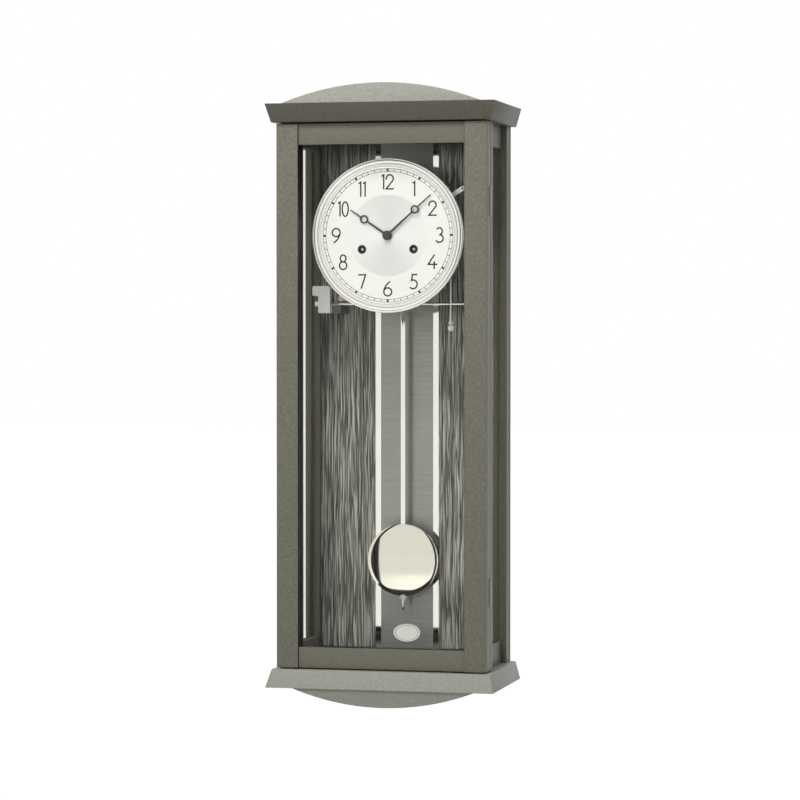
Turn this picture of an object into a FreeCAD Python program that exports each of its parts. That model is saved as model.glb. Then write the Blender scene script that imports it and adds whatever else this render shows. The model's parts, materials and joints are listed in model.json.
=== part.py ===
import FreeCAD, Part
import math
import os

# Regulator wall clock: glazed case, pendulum, eight-day movement with a strike on a gong rod.
# Working axes: X to the right, Y from the door's front face back to the wall, Z up from the dial's centre.
# The exported parts have their origin in the wall hanger's hole, on the plane of the wall.
# All sizes are millimetres. Gear sizes are teeth counts and modules.

# Door and its glass
door_thickness = 20.0
stile_width = 24.6
rail_height = 23.4
rail_setback = 2.2
door_gap = 1.5
door_back_gap = 0.6
tenon_length = 12.0
tenon_thickness = 6.0
tenon_height = 14.0
tenon_front = 4.5
pane_thickness = 3.0
pane_rabbet = 5.0
pane_play = 0.4
rabbet_front = 12.0
bead_width = 4.5
bead_depth = 4.5

# Hinges and catch
hinge_length = 32.0
hinge_offset = 86.0
hinge_axis_out = 0.4
knuckle_radius = 1.6
hinge_pin_radius = 0.8
leaf_thickness = 0.7
leaf_width = 16.0
leaf_gap = 0.2
knuckle_play = 0.3
magnet_radius = 4.0
magnet_length = 7.0
catch_plate_thickness = 0.4
catch_plate_width = 11.0
catch_plate_height = 24.0

# Case
post_width = 21.7
post_depth = 13.0
side_rail_height = 25.5
side_rail_thickness = 10.0
side_rail_setback = 7.6
side_pane_setback = 1.2
side_pane_groove = 6.0
rear_stile_width = 8.6
rear_stile_depth = 11.0
rear_lip_depth = 8.0
rear_groove_depth = 4.0
case_board_thickness = 11.0
back_board_thickness = 12.0
back_board_setback = 1.3
panel_thickness = 1.5
slate_thickness = 2.5
centre_panel_width = 60.8
mirror_strip_width = 6.4
plaque_width = 31.0
plaque_height = 20.0
plaque_thickness = 1.6
plaque_rise = 19.5

# Cornice, base and the two arched boards
cornice_height = 20.6
cornice_foot_out = 5.0
cornice_lip_out = 11.0
cornice_foot_front = 4.4
cornice_lip_front = 9.5
base_height = 20.1
base_neck_out = 4.9
base_lip_out = 10.4
base_neck_front = 3.9
base_lip_front = 11.5
top_arch_half_chord = 113.0
top_arch_rise = 21.5
top_arch_front = -3.1
bottom_arch_half_chord = 108.3
bottom_arch_rise = 21.3
bottom_arch_front = 7.0
arch_thickness = 18.0

# Wall hanger and screws
hanger_width = 60.0
hanger_height = 24.0
hanger_thickness = 2.0
hanger_hole_radius = 4.0
hanger_drop = 39.5
hook_pocket_radius = 8.0
hook_pocket_depth = 7.0
hanger_screw_spacing = 40.0
screw_radius = 1.5
screw_head_radius = 2.8
screw_head_height = 1.2
screw_length = 8.0

# Dial, bezel and hands
bezel_radius = 85.6
bezel_ring_width = 11.1
bezel_height = 4.0
bezel_step_height = 2.0
bezel_groove_height = 1.0
bezel_skirt = 2.0
bezel_skirt_wall = 1.90
bezel_step_width = 3.6
bezel_groove_width = 1.6
bezel_side_gap = 11.0
bezel_top_gap = 27.4
dial_thickness = 1.0
dial_setback = 12.9
dial_centre_play = 0.45
dial_foot_radius = 2.0
dial_foot_across = 42.0
dial_foot_up = 38.0
winding_across = 29.3
winding_drop = 15.3
eyelet_radius = 4.85
eyelet_bore = 3.4
eyelet_height = 0.5
hand_thickness = 0.7
hand_hub_radius = 5.3
hand_ring_radius = 4.75
hand_ring_bore = 2.9
hand_root_width = 2.6
hand_tip_width = 1.2
minute_hand_length = 66.4
minute_ring_distance = 42.3
minute_hand_angle = 48.0
hour_hand_length = 50.7
hour_ring_distance = 31.9
hour_hand_angle = 304.0
hand_spacing = 0.9
hour_hand_rise = 1.8
hand_nut_radius = 3.2
hand_nut_height = 2.2

# Movement frame
motion_room = 17.5
plate_thickness = 2.0
plate_spacing = 36.0
plate_half_width = 57.0
plate_up = 60.0
plate_down = 49.0
plate_corner = 11.0
pillar_radius = 3.5
top_pillar_across = 48.0
top_pillar_up = 50.0
bottom_pillar_across = 12.0
bottom_pillar_down = 42.0
bracket_across = 48.0
bracket_up = 46.0
bracket_down = 38.0
bracket_arm_width = 8.0
bracket_arm_thickness = 5.0
bracket_foot_width = 12.0
bracket_foot_height = 30.0
bracket_foot_thickness = 3.0
bracket_screw_offset = 10.0
arbor_radius = 1.2
pivot_radius = 0.8
end_shake = 0.3
running_play = 0.05

# Gear teeth
pressure_angle = math.radians(25.0)
addendum_share = 0.7
dedendum_share = 0.9
backlash_share = 0.14
spoke_count = 5
spoke_width = 2.4
wheel_hub_radius = 4.8
rim_width = 2.6
wheel_thickness = 1.4
thin_wheel_thickness = 1.0
pinion_overlap = 0.6
wheel_gap = 2.0
third_gap = 1.5
escape_gap = 1.3
motion_gap = 5.0
hour_gap = 2.4
gathering_gap = 4.0
fly_gap = 2.0

# Going train: module and teeth of each mesh
barrel_teeth = 84
barrel_pinion_teeth = 12
barrel_module = 0.6
intermediate_teeth = 60
centre_pinion_teeth = 12
intermediate_module = 0.6
centre_teeth = 72
third_pinion_teeth = 8
centre_module = 0.5
third_teeth = 80
escape_pinion_teeth = 8
third_module = 0.4
escape_teeth = 32
escape_radius = 13.0
escape_tooth_depth = 2.6
escape_tooth_shares = (0.0, 0.35, 0.45, 0.6)
escape_height = 33.0
anchor_distance = 19.0
anchor_clearance = 2.0
anchor_width = 3.5
anchor_half_span = 62.0
anchor_hub_radius = 3.5
cock_clear_radius = 7.0

# Motion work behind the dial
cannon_teeth = 12
minute_wheel_teeth = 36
motion_module = 0.5
minute_pinion_teeth = 10
hour_wheel_teeth = 40
centre_arbor_radius = 1.5
cannon_wall = 0.85
cannon_seat_radius = 1.9
hour_pipe_wall = 0.9
minute_stud_radius = 1.2

# Strike train
pin_wheel_teeth = 60
gathering_pinion_teeth = 8
pin_module = 0.5
gathering_teeth = 56
fly_pinion_teeth = 8
gathering_module = 0.4
pin_wheel_lean = 2.0
gathering_lean = 5.8
fly_lean = -2.2
lift_pin_count = 8
lift_pin_circle = 11.0
lift_pin_radius = 0.75
lift_pin_length = 2.5
fly_half_width = 8.0
fly_thickness = 0.6
fly_length = 10.0

# Barrels, winding arbors, ratchets and clicks
drum_radius = 23.0
drum_wall = 1.5
drum_length = 18.0
drum_front_gap = 3.0
great_wheel_thickness = 2.5
winding_arbor_radius = 2.5
spring_core_radius = 5.0
core_end_gap = 1.0
winding_square = 4.2
winding_square_setback = 1.5
ratchet_teeth = 24
ratchet_radius = 9.8
ratchet_root = 8.3
ratchet_thickness = 1.8
ratchet_plate_gap = 1.2
click_stud_across = 13.0
click_stud_up = 13.4
click_stud_radius = 2.6
click_nose_gap = 0.15
click_root_gap = 0.35
click_nose_rise = 0.75
click_nose_length = 2.4

# Suspension and pendulum
pendulum_setback = 15.0
pendulum_length = 416.3
rod_width = 5.0
rod_thickness = 2.0
rod_slot_width = 1.6
rod_slot_height = 7.0
rod_slot_drop = 138.5
suspension_pin_radius = 1.0
cock_cheek_drop = 3.0
suspension_span = 20.0
chop_height = 6.0
chop_width = 8.0
chop_thickness = 3.2
spring_strip_width = 2.2
spring_strip_thickness = 0.6
cock_cheek_thickness = 1.6
cock_cheek_gap = 0.3
cock_cheek_width = 8.0
cock_rise = 9.0
cock_arm_height = 6.0
cock_foot_height = 14.0
cock_width = 16.0
bob_radius = 40.6
bob_thickness = 16.0
bob_shoulder_radius = 35.7
bob_shoulder_drop = 4.07
bob_edge_radius = 14.0
bob_rod_play = 0.1
bob_back_gap = 11.0
rating_stud_radius = 1.1
rating_stud_grip = 6.0
rating_nut_radius = 4.0
rating_nut_height = 2.4
rating_hub_radius = 2.0
rating_hub_height = 3.0
rating_nut_gap = 0.3
rating_nut_flutes = 12
rating_flute_radius = 0.5
tip_length = 10.8
tip_floor_gap = 46.6
crutch_length = 44.0
crutch_width = 2.5
crutch_thickness = 2.0
crutch_plate_gap = 1.5
fork_half_width = 6.0
fork_height = 3.0
fork_play = 0.2
fork_reach = 4.0

# Hammer and gong
hammer_across = 50.0
hammer_drop = 43.0
hammer_head_across = 67.0
hammer_head_radius = 3.5
hammer_head_height = 6.0
hammer_gap = 1.7
hammer_arm_width = 3.0
hammer_arm_thickness = 1.6
hammer_tail_length = 40.0
gong_drop = 75.2
gong_rod_radius = 1.5
gong_rod_end_gap = 12.0
gong_setback = 2.0
gong_block_width = 20.5
gong_block_height = 30.5
gong_block_thickness = 8.0
gong_block_below = 10.3
gong_hammer_gap = 9.0
gong_side_gap = 6.5
gong_lobe_height = 11.2
gong_notch = 6.8
gong_collar_radius = 2.8
gong_collar_length = 4.2
gong_corner_radius = 2.0
gong_arm_width = 18.0
gong_arm_overhang = 10.8
gong_arm_height = 9.0
gong_foot_thickness = 3.5

# Strike-silent lever and pull wire
lever_reach = 96.0
lever_angle = 32.6
lever_pivot_reach = 46.0
lever_width = 5.0
lever_thickness = 1.2
lever_end_hole_radius = 1.4
lever_plate_gap = 0.9
lever_stud_radius = 1.5
lever_head_radius = 2.6
lever_head_height = 1.0
wire_across = 65.5
wire_setback = 5.0
wire_radius = 0.8
wire_guide_drop = 30.0
wire_guide_thickness = 3.0
wire_guide_width = 7.0
wire_travel = 12.0
wire_collar_radius = 1.8
wire_collar_height = 2.0
bulb_radius = 3.15
bulb_height = 8.0
bulb_neck_radius = 1.4
bulb_neck_height = 0.9
bulb_cap_radius = 2.6
bulb_cap_height = 2.0
bulb_drop = 106.4

# Depth chain from the door's front to the wall
post_front = door_thickness + door_back_gap
post_back = post_front + post_depth
dial_front = post_front + dial_setback
dial_back = dial_front + dial_thickness
front_plate_front = dial_back + motion_room
front_plate_back = front_plate_front + plate_thickness
back_plate_front = front_plate_back + plate_spacing
back_plate_back = back_plate_front + plate_thickness
pendulum_y = back_plate_back + pendulum_setback
panel_front = pendulum_y + bob_thickness / 2 + bob_back_gap
board_front = panel_front + panel_thickness
slate_front = board_front - slate_thickness
wall_plane = board_front + back_board_thickness
gong_y = back_plate_front - gong_setback

# Layers of the movement, from the barrels back to the escapement
drum_front = front_plate_back + drum_front_gap
great_front = drum_front + drum_length
great_back = great_front + great_wheel_thickness
intermediate_front = great_back + wheel_gap
intermediate_back = intermediate_front + wheel_thickness
centre_front = intermediate_back + wheel_gap
centre_back = centre_front + wheel_thickness
third_front = centre_back + third_gap
third_back = third_front + thin_wheel_thickness
escape_front = third_back + escape_gap
escape_back = escape_front + thin_wheel_thickness

# Layers behind the dial
motion_back = front_plate_front - motion_gap
motion_front = motion_back - wheel_thickness
hour_wheel_back = motion_front - hour_gap
hour_wheel_front = hour_wheel_back - wheel_thickness
hour_hand_back = dial_front - hour_hand_rise
hour_hand_front = hour_hand_back - hand_thickness
minute_hand_back = hour_hand_front - hand_spacing
minute_hand_front = minute_hand_back - hand_thickness


def pitch_radius(teeth, module):
    return teeth * module / 2


def mesh_distance(wheel_teeth, pinion_teeth, module):
    return pitch_radius(wheel_teeth + pinion_teeth, module)


def meet(first, first_reach, second, second_reach, side):
    """Point at the two given distances from two points, on one side of the line between them."""
    across = second[0] - first[0]
    up = second[1] - first[1]
    apart = math.hypot(across, up)
    along = (first_reach ** 2 - second_reach ** 2 + apart ** 2) / (2 * apart)
    off = side * math.sqrt(first_reach ** 2 - along ** 2)
    x = first[0] + (along * across - off * up) / apart
    z = first[1] + (along * up + off * across) / apart
    return (x, z)


def above(point, reach, lean):
    """Point at a distance above another, leaning sideways by a stated amount."""
    return (point[0] + lean, point[1] + math.sqrt(reach ** 2 - lean ** 2))


# Arbor places seen from the front, from the dial's centre
centre_place = (0.0, 0.0)
going_barrel_place = (winding_across, -winding_drop)
strike_barrel_place = (-winding_across, -winding_drop)
intermediate_place = meet(
    centre_place, mesh_distance(intermediate_teeth, centre_pinion_teeth, intermediate_module),
    going_barrel_place, mesh_distance(barrel_teeth, barrel_pinion_teeth, barrel_module), 1)
escape_place = (0.0, escape_height)
third_place = meet(
    centre_place, mesh_distance(centre_teeth, third_pinion_teeth, centre_module),
    escape_place, mesh_distance(third_teeth, escape_pinion_teeth, third_module), 1)
anchor_place = (0.0, escape_height + anchor_distance)
minute_place = (0.0, mesh_distance(minute_wheel_teeth, cannon_teeth, motion_module))
hour_module = 2 * minute_place[1] / (hour_wheel_teeth + minute_pinion_teeth)
pin_place = above(strike_barrel_place, mesh_distance(barrel_teeth, barrel_pinion_teeth, barrel_module),
                  -pin_wheel_lean)
gathering_place = above(pin_place, mesh_distance(pin_wheel_teeth, gathering_pinion_teeth, pin_module),
                        gathering_lean)
fly_place = above(gathering_place, mesh_distance(gathering_teeth, fly_pinion_teeth, gathering_module),
                  fly_lean)
hammer_place = (-hammer_across, -hammer_drop)
lever_direction = (math.cos(math.radians(lever_angle)), math.sin(math.radians(lever_angle)))
lever_place = (lever_pivot_reach * lever_direction[0], lever_pivot_reach * lever_direction[1])

# Height chain: the case is as tall as the dial and the pendulum need
swing_height = anchor_place[1]
bob_height = swing_height - pendulum_length
bob_bottom = bob_height - bob_radius
nut_top = bob_bottom - rating_nut_gap
hub_top = nut_top - rating_nut_height
nut_bottom = hub_top - rating_hub_height
tip_height = nut_bottom - tip_length
floor_height = tip_height - tip_floor_gap
ceiling_height = bezel_radius + bezel_top_gap
bezel_inner_radius = bezel_radius - bezel_ring_width
skirt_inner = bezel_radius - bezel_skirt_wall
dial_radius = skirt_inner - 2 * running_play
case_top = ceiling_height + case_board_thickness
case_bottom = floor_height - case_board_thickness
door_top = case_top - door_gap
door_bottom = case_bottom + door_gap
hanger_z = case_top - hanger_drop

# Width chain: room for the bezel between the posts, and for the gong block between the panes
gong_block_right = -hammer_head_across - gong_hammer_gap - hammer_head_radius
gong_block_left = gong_block_right - gong_block_width
pane_set_out = post_width - side_rail_setback - side_pane_setback - pane_thickness
post_inner = max(bezel_radius + bezel_side_gap, gong_side_gap - gong_block_left - pane_set_out)
case_half = post_inner + post_width
rail_outer = case_half - side_rail_setback
rail_inner = rail_outer - side_rail_thickness
side_pane_outer = rail_outer - side_pane_setback
side_pane_inner = side_pane_outer - pane_thickness
back_half = case_half - back_board_setback
sight_half = case_half - stile_width
sight_top = door_top - rail_height
sight_bottom = door_bottom + rail_height
hinge_x = case_half + hinge_axis_out
hinge_y = door_thickness + door_back_gap / 2


def box(x0, x1, y0, y1, z0, z1):
    corner = FreeCAD.Vector(min(x0, x1), min(y0, y1), min(z0, z1))
    return Part.makeBox(abs(x1 - x0), abs(y1 - y0), abs(z1 - z0), corner)


def round_y(place, radius, y0, y1):
    base = FreeCAD.Vector(place[0], y0, place[1])
    return Part.makeCylinder(radius, y1 - y0, base, FreeCAD.Vector(0, 1, 0))


def round_z(x, y, radius, z0, z1):
    return Part.makeCylinder(radius, z1 - z0, FreeCAD.Vector(x, y, z0), FreeCAD.Vector(0, 0, 1))


def round_x(y, z, radius, x0, x1):
    return Part.makeCylinder(radius, x1 - x0, FreeCAD.Vector(x0, y, z), FreeCAD.Vector(1, 0, 0))


def slab(points, y0, y1):
    """Straight-sided outline in the dial's plane, carried from one depth to another."""
    corners = [FreeCAD.Vector(x, y0, z) for x, z in points]
    face = Part.Face(Part.makePolygon(corners + corners[:1]))
    return face.extrude(FreeCAD.Vector(0, y1 - y0, 0))


def join(first, *others):
    return first.fuse(list(others)).removeSplitter()


def turned(points, angle, place=(0.0, 0.0)):
    """Points turned clockwise as seen from the front, then moved to a place."""
    c = math.cos(angle)
    s = math.sin(angle)
    return [(place[0] + x * c + z * s, place[1] - x * s + z * c) for x, z in points]


def mirrored(shape):
    return shape.mirror(FreeCAD.Vector(0, 0, 0), FreeCAD.Vector(1, 0, 0))


def export(node, *solids):
    """Write one node, moved so that the hanger hole on the wall plane is the origin."""
    shape = solids[0] if len(solids) == 1 else Part.makeCompound(list(solids))
    shape = shape.copy()
    shape.translate(FreeCAD.Vector(0, -wall_plane, -hanger_z))
    shape.exportStep("parts/" + node + ".step")


# Gear outlines
def involute(angle):
    return math.tan(angle) - angle


def tooth_half_angle(teeth, module, radius):
    """Half the angle that a tooth fills at a radius; below the base circle its sides are radial."""
    pitch = pitch_radius(teeth, module)
    base = pitch * math.cos(pressure_angle)
    half = math.pi * (1 - backlash_share) / (2 * teeth) + involute(pressure_angle)
    if radius <= base:
        return half
    return half - involute(math.acos(base / radius))


def gear_outline(teeth, module, place, phase):
    """Toothed outline; each side of a tooth is straight between the root, pitch and tip circles."""
    pitch = pitch_radius(teeth, module)
    radii = [pitch - dedendum_share * module, pitch, pitch + addendum_share * module]
    halves = [tooth_half_angle(teeth, module, radius) for radius in radii]
    side = list(zip(radii, halves))
    points = []
    for tooth in range(teeth):
        middle = phase + 2 * math.pi * tooth / teeth
        flank = [(radius, middle - half) for radius, half in side]
        flank += [(radius, middle + half) for radius, half in reversed(side)]
        points += [(place[0] + r * math.cos(a), place[1] + r * math.sin(a)) for r, a in flank]
    return points


def meshed_phase(wheel_place, wheel_teeth, wheel_phase, pinion_place, pinion_teeth):
    """Angle of a pinion's tooth so that it stands in a gap of the wheel."""
    line = math.atan2(pinion_place[1] - wheel_place[1], pinion_place[0] - wheel_place[0])
    turn = (wheel_teeth / pinion_teeth) * (wheel_phase - line)
    return line + math.pi + math.pi / pinion_teeth - turn


def gear(teeth, module, place, phase, y0, y1):
    return slab(gear_outline(teeth, module, place, phase), y0, y1)


def spoked(wheel, place, hub, rim, y0, y1):
    """Cut windows between a wheel's hub and rim, leaving straight spokes."""
    window = round_y(place, rim, y0, y1).cut(round_y(place, hub, y0, y1))
    bars = []
    for spoke in range(spoke_count):
        bar = [(-spoke_width / 2, 0), (spoke_width / 2, 0), (spoke_width / 2, rim), (-spoke_width / 2, rim)]
        bars.append(slab(turned(bar, 2 * math.pi * spoke / spoke_count, place), y0, y1))
    return wheel.cut(window.cut(bars))


def crossed_gear(teeth, module, place, phase, y0, y1):
    wheel = gear(teeth, module, place, phase, y0, y1)
    rim = pitch_radius(teeth, module) - dedendum_share * module - rim_width
    return spoked(wheel, place, wheel_hub_radius, rim, y0, y1)


def arbor(place, pivot_back=back_plate_back):
    """Arbor between the plates with a pivot in each."""
    shaft = round_y(place, arbor_radius, front_plate_back + end_shake, back_plate_front - end_shake)
    front_pivot = round_y(place, pivot_radius, front_plate_front, front_plate_back + end_shake)
    back_pivot = round_y(place, pivot_radius, back_plate_front - end_shake, pivot_back)
    return join(shaft, front_pivot, back_pivot)


os.makedirs("parts", exist_ok=True)


# Case boards and mouldings
def flared_board(low, high, back):
    """Board with sloping front and sides; low and high are (height, half width, front)."""
    def ring(level):
        z, half, front = level
        return [FreeCAD.Vector(-half, front, z), FreeCAD.Vector(half, front, z),
                FreeCAD.Vector(half, back, z), FreeCAD.Vector(-half, back, z)]

    bottom = ring(low)
    top = ring(high)
    loops = [bottom, top]
    for corner in range(4):
        after = (corner + 1) % 4
        loops.append([bottom[corner], bottom[after], top[after], top[corner]])
    faces = [Part.Face(Part.makePolygon(loop + loop[:1])) for loop in loops]
    return Part.Solid(Part.Shell(faces))


def arch_board(half_chord, rise, base, front, sign):
    """Segment of a disc standing on the cornice (sign 1) or hanging under the base (sign -1)."""
    left = FreeCAD.Vector(-half_chord, front, base)
    crown = FreeCAD.Vector(0, front, base + sign * rise)
    right = FreeCAD.Vector(half_chord, front, base)
    edges = [Part.Arc(left, crown, right).toShape(), Part.makeLine(right, left)]
    return Part.Face(Part.Wire(edges)).extrude(FreeCAD.Vector(0, arch_thickness, 0))


cornice_top = case_top + cornice_height
base_bottom = case_bottom - base_height
export("cornice_board", flared_board((case_top, case_half + cornice_foot_out, -cornice_foot_front),
                                     (cornice_top, case_half + cornice_lip_out, -cornice_lip_front),
                                     wall_plane))
export("base_board", flared_board((base_bottom, case_half + base_lip_out, -base_lip_front),
                                  (case_bottom, case_half + base_neck_out, -base_neck_front), wall_plane))
export("top_arch", arch_board(top_arch_half_chord, top_arch_rise, cornice_top, top_arch_front, 1))
export("bottom_arch", arch_board(bottom_arch_half_chord, bottom_arch_rise, base_bottom,
                                 bottom_arch_front, -1))


def case_board(z0, z1):
    """Inner floor or ceiling: between the posts in front, between the side rails behind them."""
    front = box(-post_inner, post_inner, post_front, board_front, z0, z1)
    rear = box(-rail_inner, rail_inner, post_back, board_front, z0, z1)
    return join(front, rear)


export("case_top_board", case_board(ceiling_height, case_top))
export("case_bottom_board", case_board(case_bottom, floor_height))

# Hinge parts: places of the two hinges and the room that their knuckles need
hinge_heights = [door_top - hinge_offset, door_bottom + hinge_offset]
leaf_front = hinge_y - leaf_gap / 2 - leaf_thickness
leaf_back = hinge_y + leaf_gap / 2 + leaf_thickness
leaf_inner = hinge_x - leaf_width
knuckle_room = knuckle_radius + knuckle_play
third_of_hinge = hinge_length / 3


def hinge_recess(z, y0, y1):
    """Mortise for one leaf together with the notch for its knuckles."""
    low = z - hinge_length / 2
    high = z + hinge_length / 2
    leaf = box(leaf_inner, hinge_x, y0, y1, low, high)
    notch = box(hinge_x - knuckle_room, hinge_x + knuckle_room, hinge_y - knuckle_room,
                hinge_y + knuckle_room, low, high)
    return join(leaf, notch)


def hinge_leaf(z, y0, y1, knuckles, others):
    """Leaf with its own knuckles; cut away where the other leaf's knuckles turn."""
    leaf = box(leaf_inner, hinge_x, y0, y1, z - hinge_length / 2, z + hinge_length / 2)
    for low, high in knuckles:
        leaf = leaf.fuse(round_z(hinge_x, hinge_y, knuckle_radius, z + low, z + high))
    for low, high in others:
        leaf = leaf.cut(round_z(hinge_x, hinge_y, knuckle_room, z + low - knuckle_play,
                                z + high + knuckle_play))
    return leaf


middle_knuckle = [(-third_of_hinge / 2, third_of_hinge / 2)]
outer_knuckles = [(-hinge_length / 2, -third_of_hinge / 2 - knuckle_play),
                  (third_of_hinge / 2 + knuckle_play, hinge_length / 2)]


def case_leaf(z):
    """Case leaf with the hinge pin fixed in its two knuckles."""
    leaf = hinge_leaf(z, hinge_y + leaf_gap / 2, leaf_back, outer_knuckles, middle_knuckle)
    pin = round_z(hinge_x, hinge_y, hinge_pin_radius, z - hinge_length / 2, z + hinge_length / 2)
    return join(leaf, pin)


def door_leaf(z):
    """Door leaf whose middle knuckle turns on the pin."""
    leaf = hinge_leaf(z, leaf_front, hinge_y - leaf_gap / 2, middle_knuckle, outer_knuckles)
    bore = round_z(hinge_x, hinge_y, hinge_pin_radius + running_play, z - hinge_length,
                   z + hinge_length)
    return leaf.cut(bore).removeSplitter()


export("hinge_case_leaves", *[case_leaf(z) for z in hinge_heights])
export("hinge_door_leaves", *[door_leaf(z) for z in hinge_heights])

# Front posts, with the magnet in the left one and the hinge mortises in the right one
magnet_place = (-case_half + magnet_radius + catch_plate_width / 2, (door_top + door_bottom) / 2)
right_post = box(post_inner, case_half, post_front, post_back, case_bottom, case_top)
left_post = mirrored(right_post)
for height in hinge_heights:
    right_post = right_post.cut(hinge_recess(height, hinge_y, leaf_back))
left_post = left_post.cut(round_y(magnet_place, magnet_radius + running_play, post_front,
                                  post_front + magnet_length))
export("front_posts", left_post, right_post)
export("catch_magnet", round_y(magnet_place, magnet_radius, post_front, post_front + magnet_length))

# Side frames, each of two rails and a rear stile with an inner lip, and their panes
groove_play = running_play
top_rail_foot = case_top - side_rail_height
bottom_rail_head = case_bottom + side_rail_height
rear_stile_front = board_front - rear_stile_depth
groove_back = rear_stile_front + rear_groove_depth
rear_stile_inner = back_half - rear_stile_width
pane_groove = box(side_pane_inner - groove_play, side_pane_outer + groove_play, post_back, groove_back,
                  bottom_rail_head - side_pane_groove, top_rail_foot + side_pane_groove)
side_pane = box(side_pane_inner, side_pane_outer, post_back, groove_back - pane_play,
                bottom_rail_head - side_pane_groove + pane_play, top_rail_foot + side_pane_groove - pane_play)
rear_stile = box(rear_stile_inner, back_half, rear_stile_front, board_front, case_bottom, case_top)
rear_lip = box(rail_inner, rear_stile_inner, board_front - rear_lip_depth, board_front, case_bottom, case_top)
right_frame = [box(rail_inner, rail_outer, post_back, rear_stile_front, top_rail_foot, case_top),
               box(rail_inner, rail_outer, post_back, rear_stile_front, case_bottom, bottom_rail_head),
               join(rear_stile, rear_lip)]
right_frame = [piece.cut(pane_groove) for piece in right_frame]
export("side_rails", *right_frame, *[mirrored(piece) for piece in right_frame])
export("side_glass_panes", side_pane, mirrored(side_pane))

# Panels on the back board
strip_inner = centre_panel_width / 2
slate_inner = strip_inner + mirror_strip_width
right_slate = box(slate_inner, rail_inner, slate_front, board_front, floor_height, ceiling_height)
mirror_strip = box(strip_inner, slate_inner, panel_front, board_front, floor_height, ceiling_height)
export("mirror_strips", mirror_strip, mirrored(mirror_strip))
export("centre_panel", box(-strip_inner, strip_inner, panel_front, board_front,
                           floor_height, ceiling_height))

# Oval plaque on the centre panel
plaque_centre = FreeCAD.Vector(0, panel_front - plaque_thickness, floor_height + plaque_rise)
plaque_long = plaque_centre + FreeCAD.Vector(plaque_width / 2, 0, 0)
plaque_short = plaque_centre + FreeCAD.Vector(0, 0, plaque_height / 2)
plaque_edge = Part.Ellipse(plaque_long, plaque_short, plaque_centre).toShape()
plaque_face = Part.Face(Part.Wire([plaque_edge]))
export("oval_plaque", plaque_face.extrude(FreeCAD.Vector(0, plaque_thickness, 0)))

# Back board with the hanger let in flush, and the screws of the hanger and the movement's brackets
bracket_places = [(side * bracket_across, height) for side in (-1, 1)
                  for height in (bracket_up, -bracket_down)]
bracket_foot_front = slate_front - bracket_foot_thickness
bracket_screws = [(x, z + offset) for x, z in bracket_places
                  for offset in (-bracket_screw_offset, bracket_screw_offset)]
hanger_screws = [(side * hanger_screw_spacing / 2, hanger_z) for side in (-1, 1)]
hanger_front = wall_plane - hanger_thickness
hanger_hole = round_y((0, hanger_z), hanger_hole_radius, hanger_front, wall_plane)
hanger_plate = box(-hanger_width / 2, hanger_width / 2, hanger_front, wall_plane,
                   hanger_z - hanger_height / 2, hanger_z + hanger_height / 2)
hook_pocket = round_y((0, hanger_z), hook_pocket_radius, hanger_front - hook_pocket_depth, hanger_front)


def hanger_screw(place):
    head = round_y(place, screw_head_radius, wall_plane - screw_head_height, wall_plane)
    shank = round_y(place, screw_radius, wall_plane - screw_length, wall_plane - screw_head_height)
    return join(head, shank)


def bracket_screw(place):
    head = round_y(place, screw_head_radius, bracket_foot_front - screw_head_height, bracket_foot_front)
    shank = round_y(place, screw_radius, bracket_foot_front, bracket_foot_front + screw_length)
    return join(head, shank)


screws = [hanger_screw(place) for place in hanger_screws]
screws += [bracket_screw(place) for place in bracket_screws]
back_board = box(-back_half, back_half, board_front, wall_plane, case_bottom, case_top)
back_board = back_board.cut([hanger_plate, hook_pocket] + screws)
export("back_board", back_board)
export("wall_hanger", hanger_plate.cut([hanger_hole] + screws))
export("fixing_screws", *screws)
right_slate_panel = right_slate.cut(screws)
export("slate_panels", right_slate_panel, mirrored(right_slate).cut(screws))

# Door frame: stiles, tenoned rails, pane and beads
pane_pocket = box(-sight_half - pane_rabbet, sight_half + pane_rabbet, rabbet_front, door_thickness,
                  sight_bottom - pane_rabbet, sight_top + pane_rabbet)
rail_middles = [door_top - rail_height / 2, door_bottom + rail_height / 2]
tenons = [box(-sight_half - tenon_length, sight_half + tenon_length, tenon_front,
              tenon_front + tenon_thickness, middle - tenon_height / 2, middle + tenon_height / 2)
          for middle in rail_middles]
right_stile = box(sight_half, case_half, 0, door_thickness, door_bottom, door_top).cut([pane_pocket] + tenons)
export("door_left_stile", mirrored(right_stile))
for height in hinge_heights:
    right_stile = right_stile.cut(hinge_recess(height, leaf_front, hinge_y))
export("door_right_stile", right_stile)


def door_rail(middle, tenon):
    bar = box(-sight_half, sight_half, rail_setback, door_thickness, middle - rail_height / 2,
              middle + rail_height / 2)
    return join(bar.cut(pane_pocket), tenon)


export("door_rails", *[door_rail(middle, tenon) for middle, tenon in zip(rail_middles, tenons)])
pane_half = sight_half + pane_rabbet - pane_play
pane_back = rabbet_front + pane_thickness
bead_back = pane_back + bead_depth
bead_outer = sight_half + pane_rabbet
bead_top = sight_top + pane_rabbet
bead_bottom = sight_bottom - pane_rabbet
export("door_glass", box(-pane_half, pane_half, rabbet_front, pane_back,
                         bead_bottom + pane_play, bead_top - pane_play))
upright_bead = box(bead_outer - bead_width, bead_outer, pane_back, bead_back, bead_bottom, bead_top)
level_bead_half = bead_outer - bead_width
top_bead = box(-level_bead_half, level_bead_half, pane_back, bead_back, bead_top - bead_width, bead_top)
bottom_bead = box(-level_bead_half, level_bead_half, pane_back, bead_back, bead_bottom,
                  bead_bottom + bead_width)
export("glass_beads", upright_bead, mirrored(upright_bead), top_bead, bottom_bead)
export("catch_plate", box(magnet_place[0] - catch_plate_width / 2, magnet_place[0] + catch_plate_width / 2,
                          door_thickness, door_thickness + catch_plate_thickness,
                          magnet_place[1] - catch_plate_height / 2,
                          magnet_place[1] + catch_plate_height / 2))

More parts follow.
